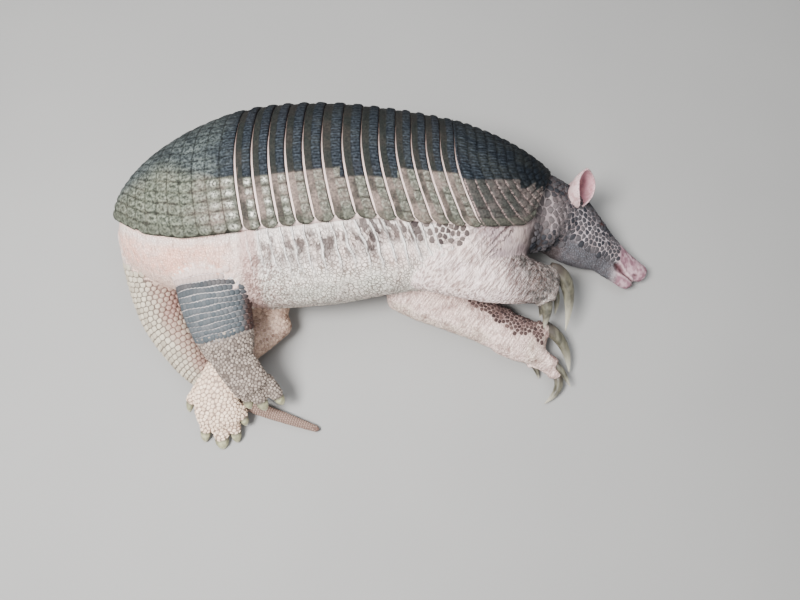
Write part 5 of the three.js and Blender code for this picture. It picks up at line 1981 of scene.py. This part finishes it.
@dataclass
class Coat:
    """Seeds scales over the skin."""

    skin: Skin
    mesh: bpy.types.Mesh
    seed: int = 7

    def __post_init__(self) -> None:
        """Reads the skin's surface."""
        self.points = self.skin.at.points
        self.mesh.calc_loop_triangles()
        flat = np.empty(len(self.mesh.loop_triangles) * 3, np.int32)
        self.mesh.loop_triangles.foreach_get("vertices", flat)
        self.faces = flat.reshape(-1, 3)
        corners = self.points[self.faces]
        self.sides = corners[:, 1] - corners[:, 0], corners[:, 2] - corners[:, 0]
        crossed = np.cross(*self.sides)
        self.areas = np.linalg.norm(crossed, axis=1) / 2
        self.facing = unit(crossed)
        self.tree = BVHTree.FromPolygons(self.points.tolist(), self.faces.tolist())

    def darts(self, pitch: Array, keep: Array) -> tuple[Array, ...]:
        """Scatters roots about one pitch apart.

        Args:
            pitch: The distance between roots at each point of the skin.
            keep: Whether each point of the skin may carry a scale.

        Returns:
            The roots, their normals, their pitches and the way they lean.
        """
        rng = np.random.default_rng(self.seed)
        chosen = np.flatnonzero(keep[self.faces].all(axis=1))
        local = pitch[self.faces[chosen]].mean(axis=1)
        weight = self.areas[chosen] / local**2
        total = int(weight.sum() * 9)
        picks = rng.choice(len(chosen), size=total, p=weight / weight.sum())
        a, b = rng.random((2, total))
        flip = a + b > 1
        a, b = np.where(flip, 1 - a, a), np.where(flip, 1 - b, b)
        face = chosen[picks]
        spots = self.points[self.faces[face, 0]] + self.sides[0][face] * a[:, None]
        spots = spots + self.sides[1][face] * b[:, None]
        gap = local[picks] * 0.82
        cell = float(gap.max())
        grid: dict[tuple[int, int, int], list[int]] = {}
        kept: list[int] = []
        keys = np.floor(spots / cell).astype(int)
        around = [(i, j, k) for i in (-1, 0, 1) for j in (-1, 0, 1) for k in (-1, 0, 1)]
        for i in range(total):
            x, y, z = keys[i]
            close = [n for dx, dy, dz in around for n in grid.get((x + dx, y + dy, z + dz), ())]
            if close and (((spots[close] - spots[i]) ** 2).sum(axis=1) < gap[i] ** 2).any():
                continue
            grid.setdefault((x, y, z), []).append(i)
            kept.append(i)
        roots, spread = spots[kept], local[picks][kept]
        roots, normals = self.settled(self.evened(roots, spread))
        return roots, normals, spread, np.tile(np.array([0.31, 0.17, 0.93]), (len(roots), 1))

    def evened(self, roots: Array, spread: Array, rounds: int = 4) -> Array:
        """Pushes roots that stand close together apart, along the skin."""
        for _ in range(rounds):
            tree = tree_of(roots)
            near = np.array([[k for _, k, _ in tree.find_n(root, 7)] for root in roots])
            gap = roots[:, None, :] - roots[near[:, 1:]]
            far = np.maximum(np.linalg.norm(gap, axis=2, keepdims=True), 1e-6)
            push = np.maximum(spread[:, None, None] * 1.1 - far, 0.0)
            roots = roots + (gap / far * push).sum(axis=1) * 0.22
            roots, _ = self.settled(roots)
        return roots

    def settled(self, roots: Array) -> tuple[Array, Array]:
        """Puts roots back on the skin, and finds the normals there."""
        found = [self.tree.find_nearest(root) for root in roots]
        return np.array([spot for spot, *_ in found]), np.array([normal for _, normal, *_ in found])

    def rows(
        self,
        loft: Loft,
        span: Sequence[float],
        pitch: float,
        width: float,
        beyond: float = 0.0,
        wave: float = 0.0,
    ) -> tuple[Array, ...]:
        """Sets roots in rings around a loft, each ring offset from the last.

        Args:
            loft: The loft to go round.
            span: Shares of its length where the rows begin and end.
            pitch: Distance between rows.
            width: Distance between roots in a row.
            beyond: How many radii from its axis a row may reach where it runs onto the trunk.
            wave: How far the rows waver along the loft.

        Returns:
            The roots, their normals, their pitches and the way they lean.
        """
        t = np.linspace(0.0, 1.0, 200)
        axis = spline(loft.rows, t)
        miles = np.concatenate([[0.0], np.cumsum(np.linalg.norm(np.diff(axis[:, :3], axis=0), axis=1))])
        mile, row = float(np.interp(span[0], t, miles)), 0
        roots, normals, sizes, leans, reaches = [], [], [], [], []
        while mile < np.interp(span[1], t, miles):
            centre, along, across, up = loft.frame(np.array([np.interp(mile, miles, t)]))
            radius = centre[0, 3:5].mean()
            small = min(1.0, max(0.42, radius / 34))
            local = width * small
            mile, row = mile + pitch * small, row + 1
            count = max(6, round(2 * math.pi * radius / local))
            for k in range(count):
                angle = 2 * math.pi * (k + 0.5 * (row % 2)) / count
                way = across[0] * math.cos(angle) + up[0] * math.sin(angle)
                start = centre[0, :3] + along[0] * wave * math.sin(5 * angle + 1.7 * row)
                spot, normal, _, far = self.tree.ray_cast(Vector(start), Vector(way), radius * 1.6)
                if spot is not None and far > radius * 0.7:
                    roots.append(spot)
                    normals.append(normal)
                    sizes.append((pitch * small + local) / 2)
                    leans.append(along[0])
                    reaches.append(far / radius)
        made = [np.array(column) for column in (roots, normals, sizes, leans)]
        region = self.skin.locate(made[0], made[1]).region
        mine = (region == loft.region.value) | ((region == Region.TRUNK.value) & (np.array(reaches) < beyond))
        mine &= self.spaced(made[0], made[2] * 0.68)
        return tuple(column[mine] for column in made)

    def spaced(self, roots: Array, gap: Array) -> Array:
        """Whether each root stands clear of every kept root before it."""
        kept = np.zeros(len(roots), bool)
        for i, root in enumerate(roots):
            kept[i] = bool((((roots[kept] - root) ** 2).sum(axis=1) >= gap[i] ** 2).all())
        return kept

    def field(self, name: str, made: tuple[Array, ...], tint: Callable, shape: ScaleShape) -> ScaleField:
        """Makes a field of scales from roots, coloured by a function of their places."""
        roots, normals, pitch, lean = made
        at = self.skin.locate(roots, normals)
        return ScaleField(name, roots, normals, pitch, lean, tint(at), charted(at), shape)


# ---------- claws, ears and eyes ----------


@dataclass(frozen=True)
class Claw:
    """A curved horn: root, bend, tip, and half widths across and in depth."""

    node: str
    root: Sequence[float]
    bend: Sequence[float]
    tip: Sequence[float]
    wide: float
    deep: float
    taper: float = 0.8
    seat: float = 1.0

    def build(self, space: Space) -> bpy.types.Object:
        """Makes the claw."""
        mesh, turn, place = sleeve(26, 34)
        t = np.clip(place * 1.12 - 0.12, 0.0, 1.0)
        back = np.minimum(place * 1.12 - 0.12, 0.0) / 0.12
        a, b, c = (np.array(p, float) for p in (self.root, self.bend, self.tip))
        k = t[:, None]
        middle = (1 - k) ** 2 * a + 2 * k * (1 - k) * b + k**2 * c
        along = unit(2 * (1 - k) * (b - a) + 2 * k * (c - b))
        across = unit(np.cross(b - a, c - b)[None, :])
        out = np.cross(along, across)
        middle = middle + along * (back * self.wide * self.seat)[:, None]
        size = np.maximum((1 - t * t) ** self.taper, 0.05) * (1 + 0.12 * back)
        size *= 1 + 0.02 * np.sin(40 * t) * (1 - t)
        angle = turn * 2 * math.pi
        side, deep = np.cos(angle), np.sin(angle)
        deep = np.where(deep > 0, deep, deep * 0.82)
        side *= 1 - 0.16 * ease(0.0, 1.0, -np.sin(angle))
        middle = middle + across * (side * size * self.wide)[:, None]
        points = middle + out * (deep * size * self.deep)[:, None]
        points[:, 2] = np.maximum(points[:, 2], 0.2)
        set_points(mesh, space.to_frame(points))
        face_out(mesh)
        set_values(mesh, "reach", t)
        set_values(mesh, "rim", np.abs(np.cos(angle)) ** 3)
        thing = make_object(self.node + "_horn", mesh)
        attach(thing, BODY)
        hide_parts(self.node)
        return thing


@dataclass(frozen=True)
class Ear:
    """A leaf-shaped ear, rolled into a cup that opens to one side."""

    node: str
    root: Sequence[float]
    tip: Sequence[float]
    facing: Sequence[float]
    width: float
    cup: float
    wall: float = 2.6
    roll: tuple[float, float] = (6.0, 2.2)
    neck: float = 0.18
    close: float = 0.74
    opening: float = 0.55

    def surface(self, u: Array, v: Array) -> Array:
        """Points of the ear's mid surface."""
        base = np.array(self.root, float)
        along = np.array(self.tip, float) - base
        height = np.linalg.norm(along)
        along = along / height
        out = np.array(self.facing, float)
        out = out - along * (out @ along)
        out = out / np.linalg.norm(out)
        across = np.cross(along, out)
        outline = self.neck + (1 - self.neck) * np.sin(math.pi * (0.08 + 0.74 * u)) ** 0.9
        past = np.maximum(0.0, (u - self.close) / (1 - self.close))
        outline = outline * np.sqrt(np.maximum(1 - past**2, 0.04))
        turn = (v - 0.5) * (self.roll[0] + (self.roll[1] - self.roll[0]) * u)
        radius = self.width / 2 * outline
        wave = 0.7 * np.sin(9 * v + 5 * u) * u
        return (
            base
            + along * (u * height)[:, None]
            + across * (radius * np.sin(turn))[:, None]
            + out * (self.cup * outline * (self.opening - np.cos(turn)) + wave)[:, None]
        )

    def build(self, space: Space) -> bpy.types.Object:
        """Makes the ear with a thick rolled rim and folds inside."""
        spans, side = 44, 2
        around = 2 * (spans + side)
        mesh, turn, place = sleeve(around, 52)
        slot = np.rint(turn * around).astype(int) % around
        half = spans + side
        front = slot < half
        step = np.where(front, slot, around - 1 - slot)
        v = np.clip((step - side / 2) / spans, 0.0, 1.0)
        u = place
        normal = np.cross(
            self.surface(u, np.minimum(v + 0.01, 1)) - self.surface(u, np.maximum(v - 0.01, 0)),
            self.surface(np.minimum(u + 0.01, 1), v) - self.surface(np.maximum(u - 0.01, 0), v),
        )
        normal = unit(normal)
        edge = np.minimum.reduce([v, 1 - v, (1 - u) * 1.2 + 0.02])
        thick = self.wall * (0.42 + 0.3 * np.exp(-edge / 0.05))
        thick *= np.sqrt(np.clip(np.minimum(v, 1 - v) / 0.02, 0.15, 1.0))
        fold = 1.0 * bell(v, 0.36, 0.05) * bell(u, 0.4, 0.3) + 0.8 * bell(v, 0.6, 0.04) * bell(u, 0.5, 0.25)
        lift = np.where(front, thick, -thick - fold)
        points = self.surface(u, v) - normal * lift[:, None]
        set_points(mesh, space.to_frame(points))
        face_out(mesh)
        set_values(mesh, "inner", 1.0 - front)
        set_values(mesh, "rim", np.exp(-edge / 0.06))
        set_values(mesh, "root", ease(0.3, 0.0, u))
        # Deep in the cup, where the painted shade lies.
        set_values(mesh, "deep", (1.0 - front) * bell(v, 0.68, 0.11) * ease(0.95, 0.60, u))
        thing = make_object(self.node + "_cup", mesh)
        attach(thing, BODY)
        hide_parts(self.node)
        return thing


@dataclass(frozen=True)
class Eye:
    """A small dark eye."""

    node: str
    centre: Sequence[float]
    gaze: Sequence[float]
    radius: float = 6.0
    slit_line: Colour = (0.86, -0.51, 0.0)

    def slit(self, points: Array) -> tuple[Array, Array, Array]:
        """Places points by the eye's centre, and along and across the curved slit of its lids."""
        gap = points - np.array(self.centre)
        ahead = np.array(self.slit_line)
        long = gap @ ahead
        return gap, long, gap @ np.cross(ahead, np.array(self.gaze)) + 0.035 * long**2 + 0.5

    def build(self, space: Space) -> bpy.types.Object:
        """Makes the ball with a slightly raised front."""
        bm = bmesh.new()
        bmesh.ops.create_icosphere(bm, subdivisions=4, radius=self.radius)
        mesh = bpy.data.meshes.new(self.node)
        bm.to_mesh(mesh)
        bm.free()
        points = points_of(mesh)
        gaze = unit(np.array([self.gaze], float))[0]
        facing = points @ gaze / self.radius
        points = points * (1 + 0.05 * ease(0.75, 1.0, facing))[:, None]
        set_points(mesh, space.to_frame(points + np.array(self.centre, float)))
        set_values(mesh, "facing", facing)
        thing = make_object(self.node + "_ball", mesh)
        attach(thing, BODY)
        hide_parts(self.node)
        return thing


EARS = (
    Ear("ear_right", (403, -12, 94), (423, 31, 146), (0.68, -0.51, 0.48), 54, 20),
    Ear("ear_left", (424, 12, 34), (436, 60, 40), (0.5, 0.2, -0.6), 36, 13),
)

EYES = (
    Eye("eye_right", (459, -36, 69.6), (0.26, 0.46, 0.85)),
    Eye("eye_left", (459, -36, 10.4), (0.26, 0.46, -0.85)),
)


@dataclass(frozen=True)
class SkinFinish:
    """Bare wrinkled skin in the colours stored on it."""

    name: str = "bare_skin"

    def make(self) -> bpy.types.Material:
        """Builds the material."""
        s = Shader(self.name)
        tint = s.tint("tint")
        bead = s.cells(235.0, "DISTANCE_TO_EDGE", s.place((1.25, 0.9, 0.9))).step(0.02, 0.22)
        grain = s.noise(700.0, 2.0)
        wrinkle = s.noise(120.0, 3.0, s.place((1.9, 0.65, 0.65)))
        pale = s.mix(grain.step(0.35, 0.7) * 0.6, tint, s.times(tint, (1.25, 1.25, 1.25)))
        much, scaly, slant = s.value("bead"), s.value("scaly"), s.value("slant")
        ridged, furrow = s.value("ridged"), s.value("furrow")
        colour = s.mix((1.0 - bead) * much, pale, s.times(tint, (0.50, 0.38, 0.36)))
        shade = s.times(tint, (0.36, 0.28, 0.27))
        colour = s.mix(wrinkle.step(0.48, 0.30) * 0.5, colour, shade)
        scale = s.cells(205.0, "DISTANCE_TO_EDGE", s.flow("flow", (1.15, 0.62, 0.75))).step(0.13, 0.03)
        edges = s.times(tint, (0.30, 0.27, 0.25))
        colour = s.mix(scale * scaly * s.noise(60.0).step(0.25, 0.55), colour, edges)
        stroke = s.noise(112.0, 2.0, s.flow("flow", (1.15, 0.40, 0.45))).step(0.51, 0.43)
        colour = s.mix(stroke * furrow * 0.95, colour, s.times(tint, (0.22, 0.20, 0.20)))
        pleat = s.value("pleat") + 0.22 * (s.noise(55.0) - 0.5)
        line = pleat.astray().step(0.13, 0.05) * ridged * s.noise(40.0).step(0.28, 0.5)
        colour = s.mix(line * 0.92, colour, (0.95, 0.91, 0.88))
        crease = s.noise(380.0, 2.0, s.place((1.0, 0.11, 0.5), (0.0, 0.0, math.radians(38.0))))
        creased = s.times(tint, (0.38, 0.31, 0.30))
        colour = s.mix(crease.step(0.52, 0.40) * slant * 0.9, colour, creased)
        colour = s.mix(crease.step(0.54, 0.66) * slant * 0.55, colour, s.times(tint, (1.5, 1.5, 1.5)))
        height = wrinkle * 1.6 + bead * much * 0.9 + grain * 0.2 + crease * slant * 1.6
        height = height + line * 1.8 - stroke * furrow - scale * scaly * 0.9
        return s.finish(colour, 0.58 + 0.12 * grain, height, 0.0016, {"Specular IOR Level": 0.18})


@dataclass(frozen=True)
class ScaleFinish:
    """Small horny scales in the colours stored on them, paler on their rims."""

    name: str = "horny_scales"

    def make(self) -> bpy.types.Material:
        """Builds the material."""
        s = Shader(self.name)
        tint, rim = s.tint("tint"), s.value("rim")
        grain = s.noise(600.0, 3.0)
        colour = s.mix(grain.step(0.35, 0.7) * 0.5, tint, s.times(tint, (1.4, 1.4, 1.35)))
        colour = s.mix(rim.step(0.75, 1.0) * 0.35, colour, s.times(tint, (0.5, 0.42, 0.4)))
        return s.finish(colour, 0.55 + 0.2 * grain, grain, 0.0006, {"Specular IOR Level": 0.16})


@dataclass(frozen=True)
class ClawFinish:
    """Olive-grey horn, streaked along its length, darker along its edges and pale at its tip."""

    name: str = "claw_horn"
    dark: Colour = (0.066, 0.062, 0.046)
    light: Colour = (0.170, 0.162, 0.118)
    tip: Colour = (0.62, 0.59, 0.48)

    def make(self) -> bpy.types.Material:
        """Builds the material."""
        s = Shader(self.name)
        reach, rim = s.value("reach"), s.value("rim")
        streak = s.noise(160.0, 3.0, s.place((1.0, 0.25, 1.0)))
        colour = s.mix(streak.step(0.35, 0.65), self.dark, self.light)
        colour = s.mix(reach.step(0.55, 1.0) * 0.85, colour, self.tip)
        colour = s.mix(rim * 0.6, colour, s.times(colour, (0.42, 0.40, 0.36)))
        colour = s.mix(reach.step(0.34, 0.04) * 0.8, colour, (0.050, 0.038, 0.034))
        return s.finish(colour, 0.34 + 0.2 * streak, streak, 0.0006, {"Coat Weight": 0.1})


@dataclass(frozen=True)
class EarFinish:
    """Thin pink ear skin, mauve inside its cup partly by painted shade, with a dark fold of painted shade
    deep in the cup, and flecked with grey along its rim.
    """

    name: str = "ear_skin"

    def make(self) -> bpy.types.Material:
        """Builds the material."""
        s = Shader(self.name)
        inner, rim, root = s.value("inner"), s.value("rim"), s.value("root")
        grain = s.noise(300.0, 3.0)
        fleck = s.cells(330.0)
        # Mauve inside the cup: partly the ear's own colour, partly painted shade.
        colour = s.mix(inner, (0.66, 0.49, 0.49), (0.54, 0.26, 0.31))
        colour = s.mix(grain.step(0.4, 0.7) * 0.4, colour, (0.60, 0.36, 0.38))
        # A dark fold deep in the cup: painted shade.
        colour = s.mix(s.value("deep") * 0.9, colour, (0.17, 0.045, 0.065))
        colour = s.mix(rim * 0.5, colour, (0.66, 0.48, 0.50))
        colour = s.mix((0.25 + 0.75 * rim) * fleck.step(0.42, 0.25) * 0.7, colour, (0.19, 0.13, 0.14))
        colour = s.mix(s.noise(150.0).step(0.5, 0.36) * 0.55, colour, (0.36, 0.17, 0.18))
        colour = s.mix(root * 0.6, colour, (0.30, 0.19, 0.18))
        return s.finish(colour, 0.5 + 0.1 * grain, grain + fleck, 0.0005)


@dataclass(frozen=True)
class EyeFinish:
    """A dark wet eye with a black pupil."""

    name: str = "eye_ball"

    def make(self) -> bpy.types.Material:
        """Builds the material."""
        s = Shader(self.name)
        facing = s.value("facing")
        iris = s.mix(s.noise(900.0), (0.05, 0.025, 0.016), (0.09, 0.045, 0.025))
        colour = s.mix(facing.step(0.80, 0.84), (0.30, 0.22, 0.19), iris)
        colour = s.mix(facing.step(0.94, 0.96), colour, (0.006, 0.005, 0.005))
        return s.finish(colour, 0.08, None, 0.0, {"Coat Weight": 0.6})


# ---------- where the scales grow ----------


def scale_fields(coat: Coat) -> list[ScaleField]:
    """Seeds every field of scales."""
    at = coat.skin.at
    lofts = {loft.region: loft for loft in reversed(coat.skin.flesh.lofts)}
    x = at.points[:, 0]
    rng = np.random.default_rng(3)

    def varied(base: Colour, other: Colour, spread: float = 1.0) -> Callable:
        """Colours that wander between two."""

        def pick(place: Places) -> Array:
            """Colours of the scales at their places."""
            count = len(place.points)
            share = np.clip(rng.normal(0.4, 0.3 * spread, count), 0, 1)
            return blend(plain_colour(base, count), other, share)

        return pick

    def tail_tint(place: Places) -> Array:
        """Greenish white outside, brown on the inner curve, partly by painted shade, pink-brown at the tip.
        """
        out = varied((0.56, 0.51, 0.41), (0.33, 0.29, 0.23))(place)
        # Pink-brown on the inner side: partly its own colour, partly painted shade.
        inner = ease(0.15, 0.75, np.cos(place.around - 0.4)) * ease(0.72, 0.6, place.share)
        patch = np.clip(0.7 + 0.6 * Grain(26.0, 53).at(place.points), 0, 1)
        out = blend(out, (0.36, 0.225, 0.195), inner * patch)
        return blend(out, (0.30, 0.215, 0.180), ease(0.62, 0.78, place.share))

    def head_tint(place: Places) -> Array:
        """Blackish on the face, greyer on the neck."""
        out = varied((0.020, 0.022, 0.028), (0.088, 0.080, 0.086))(place)
        neck = ease(404, 372, place.points[:, 0]) * ease(-78, -60, place.points[:, 1])
        return blend(out, (0.105, 0.088, 0.090), neck * ease(-8, -26, place.points[:, 1]) * 0.75)

    def thigh_tint(place: Places) -> Array:
        """Slate, brown along the front edge and fading into the skin at the top."""
        out = varied((0.064, 0.078, 0.090), (0.116, 0.124, 0.134), 0.8)(place)
        out = blend(out, (0.034, 0.034, 0.038), ease(0.46, 0.34, place.share) * 0.7)
        out = blend(out, (0.050, 0.042, 0.047), ease(-168, -138, place.points[:, 1]) * 0.7)
        out = blend(out, (0.070, 0.036, 0.030), ease(-129, -119, place.points[:, 0]) * 0.9)
        return blend(out, (0.66, 0.51, 0.47), ease(0.375, 0.295, place.share) * 0.96)

    marks = coat.skin.marks
    on_head = (at.on(Region.HEAD, Region.NECK) > 0) & (marks.nose(at) < 0.3) & (marks.throat(at) < 0.7)
    on_head &= (x > 352) & (marks.lids(at) > 10.5)
    collar = 374 - 42 * np.minimum(np.abs(at.turn) / (math.pi / 2), 1) ** 2
    on_head |= (at.on(Region.TRUNK, Region.NECK) > 0) & (x > collar) & (at.points[:, 1] > -95)
    pitch = 8.3 + 2.0 * ease(392, 362, x) - 2.2 * ease(470, 505, x)
    shank = (at.on(Region.RIGHT_LEG) > 0) & (at.share > 0.78)
    broad, pebble = ScaleShape(height=0.7, gap=1.2, crown=0.7), ScaleShape(height=1.1)
    thigh = ScaleShape(height=0.7, gap=-0.7, extra=1.6, crown=0.94, limit=0.82, sides=16, tilt=0.5)
    tail = ScaleShape(height=0.9, gap=0.7, extra=0.6, crown=0.8, tilt=0.6)

    def pebbled(pitch: float, keep: Array) -> tuple[Array, ...]:
        """Roots at one pitch all over."""
        return coat.darts(np.full(len(x), pitch), keep)

    plans = (
        (
            "head_scales",
            coat.darts(pitch, on_head),
            head_tint,
            ScaleShape(1.0, gap=1.2, crown=0.74, limit=1.0),
        ),
        ("tail_scales", coat.rows(lofts[Region.TAIL], (0.12, 1.0), 9.5, 10.5), tail_tint, tail),
        (
            "thigh_scales",
            coat.rows(lofts[Region.RIGHT_LEG], (0.28, 0.79), 8.0, 7.6, 1.1, 1.0),
            thigh_tint,
            thigh,
        ),
        (
            "flank_scales",
            coat.darts(9.4 - 1.0 * ease(150, 190, x), marks.patches(at) > 0.35),
            varied((0.055, 0.043, 0.044), (0.155, 0.125, 0.118)),
            broad,
        ),
        (
            "left_foot_scales",
            pebbled(6.4, at.on(Region.LEFT_FOOT) > 0),
            varied((0.95, 0.75, 0.59), (0.68, 0.50, 0.38)),
            pebble,
        ),
        (
            "right_foot_scales",
            pebbled(5.2, (at.on(Region.RIGHT_FOOT) > 0) | shank),
            varied((0.36, 0.305, 0.265), (0.12, 0.096, 0.083)),
            pebble,
        ),
        (
            "left_leg_scales",
            pebbled(6.0, at.on(Region.LEFT_LEG) > 0),
            varied((0.60, 0.44, 0.35), (0.22, 0.14, 0.11)),
            pebble,
        ),
        (
            "left_wrist_scales",
            pebbled(6.4, marks.cuff(at) > 0.5),
            varied((0.040, 0.026, 0.026), (0.115, 0.075, 0.070)),
            ScaleShape(height=1.1, gap=1.1),
        ),
    )
    return [coat.field(name, made, tint, shape) for name, made, tint, shape in plans]


# ---------- scene ----------


def studio() -> None:
    """Sets the camera, the plain floor and the soft lights."""
    data = bpy.data.cameras.new("camera")
    data.lens = 28.0
    data.sensor_width = 36.0
    camera = bpy.data.objects.new("camera", data)
    camera.location = (0.01704, -0.28444, 1.0862)
    camera.rotation_euler = (math.radians(14.0), 0.0, 0.0)
    bpy.context.scene.collection.objects.link(camera)
    bpy.context.scene.camera = camera

    bm = bmesh.new()
    bmesh.ops.create_grid(bm, x_segments=8, y_segments=8, size=3.0)
    mesh = bpy.data.meshes.new("floor")
    bm.to_mesh(mesh)
    bm.free()
    mesh.transform(Matrix.Translation((0.0, 0.0, -0.0006)))
    floor = bpy.data.objects.new("floor", mesh)
    bpy.context.scene.collection.objects.link(floor)
    s = Shader("studio_floor")
    mesh.materials.append(s.finish(s.mix(s.noise(3.0), (0.30, 0.30, 0.30), (0.34, 0.34, 0.335)), 0.85))

    lights = (
        ("key", (-0.8, -0.35, 1.9), 0.8, 108.0, (1.0, 0.98, 0.955)),
        ("sky", (0.3, 0.7, 2.2), 1.8, 24.0, (0.95, 0.98, 1.0)),
        ("front", (0.7, -1.7, 1.2), 1.4, 16.0, (1.0, 0.98, 0.96)),
    )
    for name, place, size, power, colour in lights:
        lamp = bpy.data.lights.new(name, "AREA")
        lamp.shape = "DISK"
        lamp.size = size
        lamp.energy = power
        lamp.color = colour
        light = bpy.data.objects.new(name, lamp)
        light.location = place
        light.rotation_euler = (Vector((0.0, -0.05, 0.1)) - Vector(place)).to_track_quat("-Z", "Y").to_euler()
        bpy.context.scene.collection.objects.link(light)
    world = bpy.data.worlds.new("studio")
    world.use_nodes = True
    world.node_tree.nodes["Background"].inputs["Color"].default_value = (0.66, 0.67, 0.69, 1.0)
    world.node_tree.nodes["Background"].inputs["Strength"].default_value = 0.30
    bpy.context.scene.world = world


def main() -> None:
    """Builds the model piece by piece."""
    logging.basicConfig(level=logging.INFO, format="%(message)s")
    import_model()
    space = Space.from_frame(EYES[0].centre)
    body = BodyForm()
    girth = Girth(body)

    shell = Shell(body, girth, space)
    horn, hinge = ShellFinish().make(), HingeFinish().make()
    for piece in shell.build():
        piece.data.materials.append(hinge if piece.name == "hinge_skin" else horn)
        log.info("%s %d faces", piece.name, len(piece.data.polygons))
    small = [(EarFinish().make(), EARS), (EyeFinish().make(), EYES)]
    long_horn = ClawFinish().make()
    hind_finish = ClawFinish("hind_claw_horn", (0.27, 0.26, 0.16), (0.46, 0.45, 0.29), (0.66, 0.64, 0.50))
    short_horn = hind_finish.make()
    for foot in FEET:
        claws = [
            Claw(f"{foot.claws_named}_{i + 1}", root, bend, tip, wide, deep)
            for i, (root, bend, tip, wide, deep) in enumerate(foot.claws)
        ]
        small.append((long_horn if foot in FEET[:2] else short_horn, claws))
    for finish, parts in small:
        for part in parts:
            part.build(space).data.materials.append(finish)
    log.info("ears, eyes and claws done")

    skin = Skin(Flesh(body, girth, space), Marks(body, shell.sweep, shell.gaps()))
    thing = skin.build()
    thing.data.materials.append(SkinFinish().make())
    coat = Coat(skin, thing.data)
    for scales in scale_fields(coat):
        piece = scales.build(space)
        piece.data.materials.append(ScaleFinish().make())
        log.info("%s %d scales", piece.name, len(scales.roots))
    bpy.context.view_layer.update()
    studio()


if __name__ == "__main__":
    main()
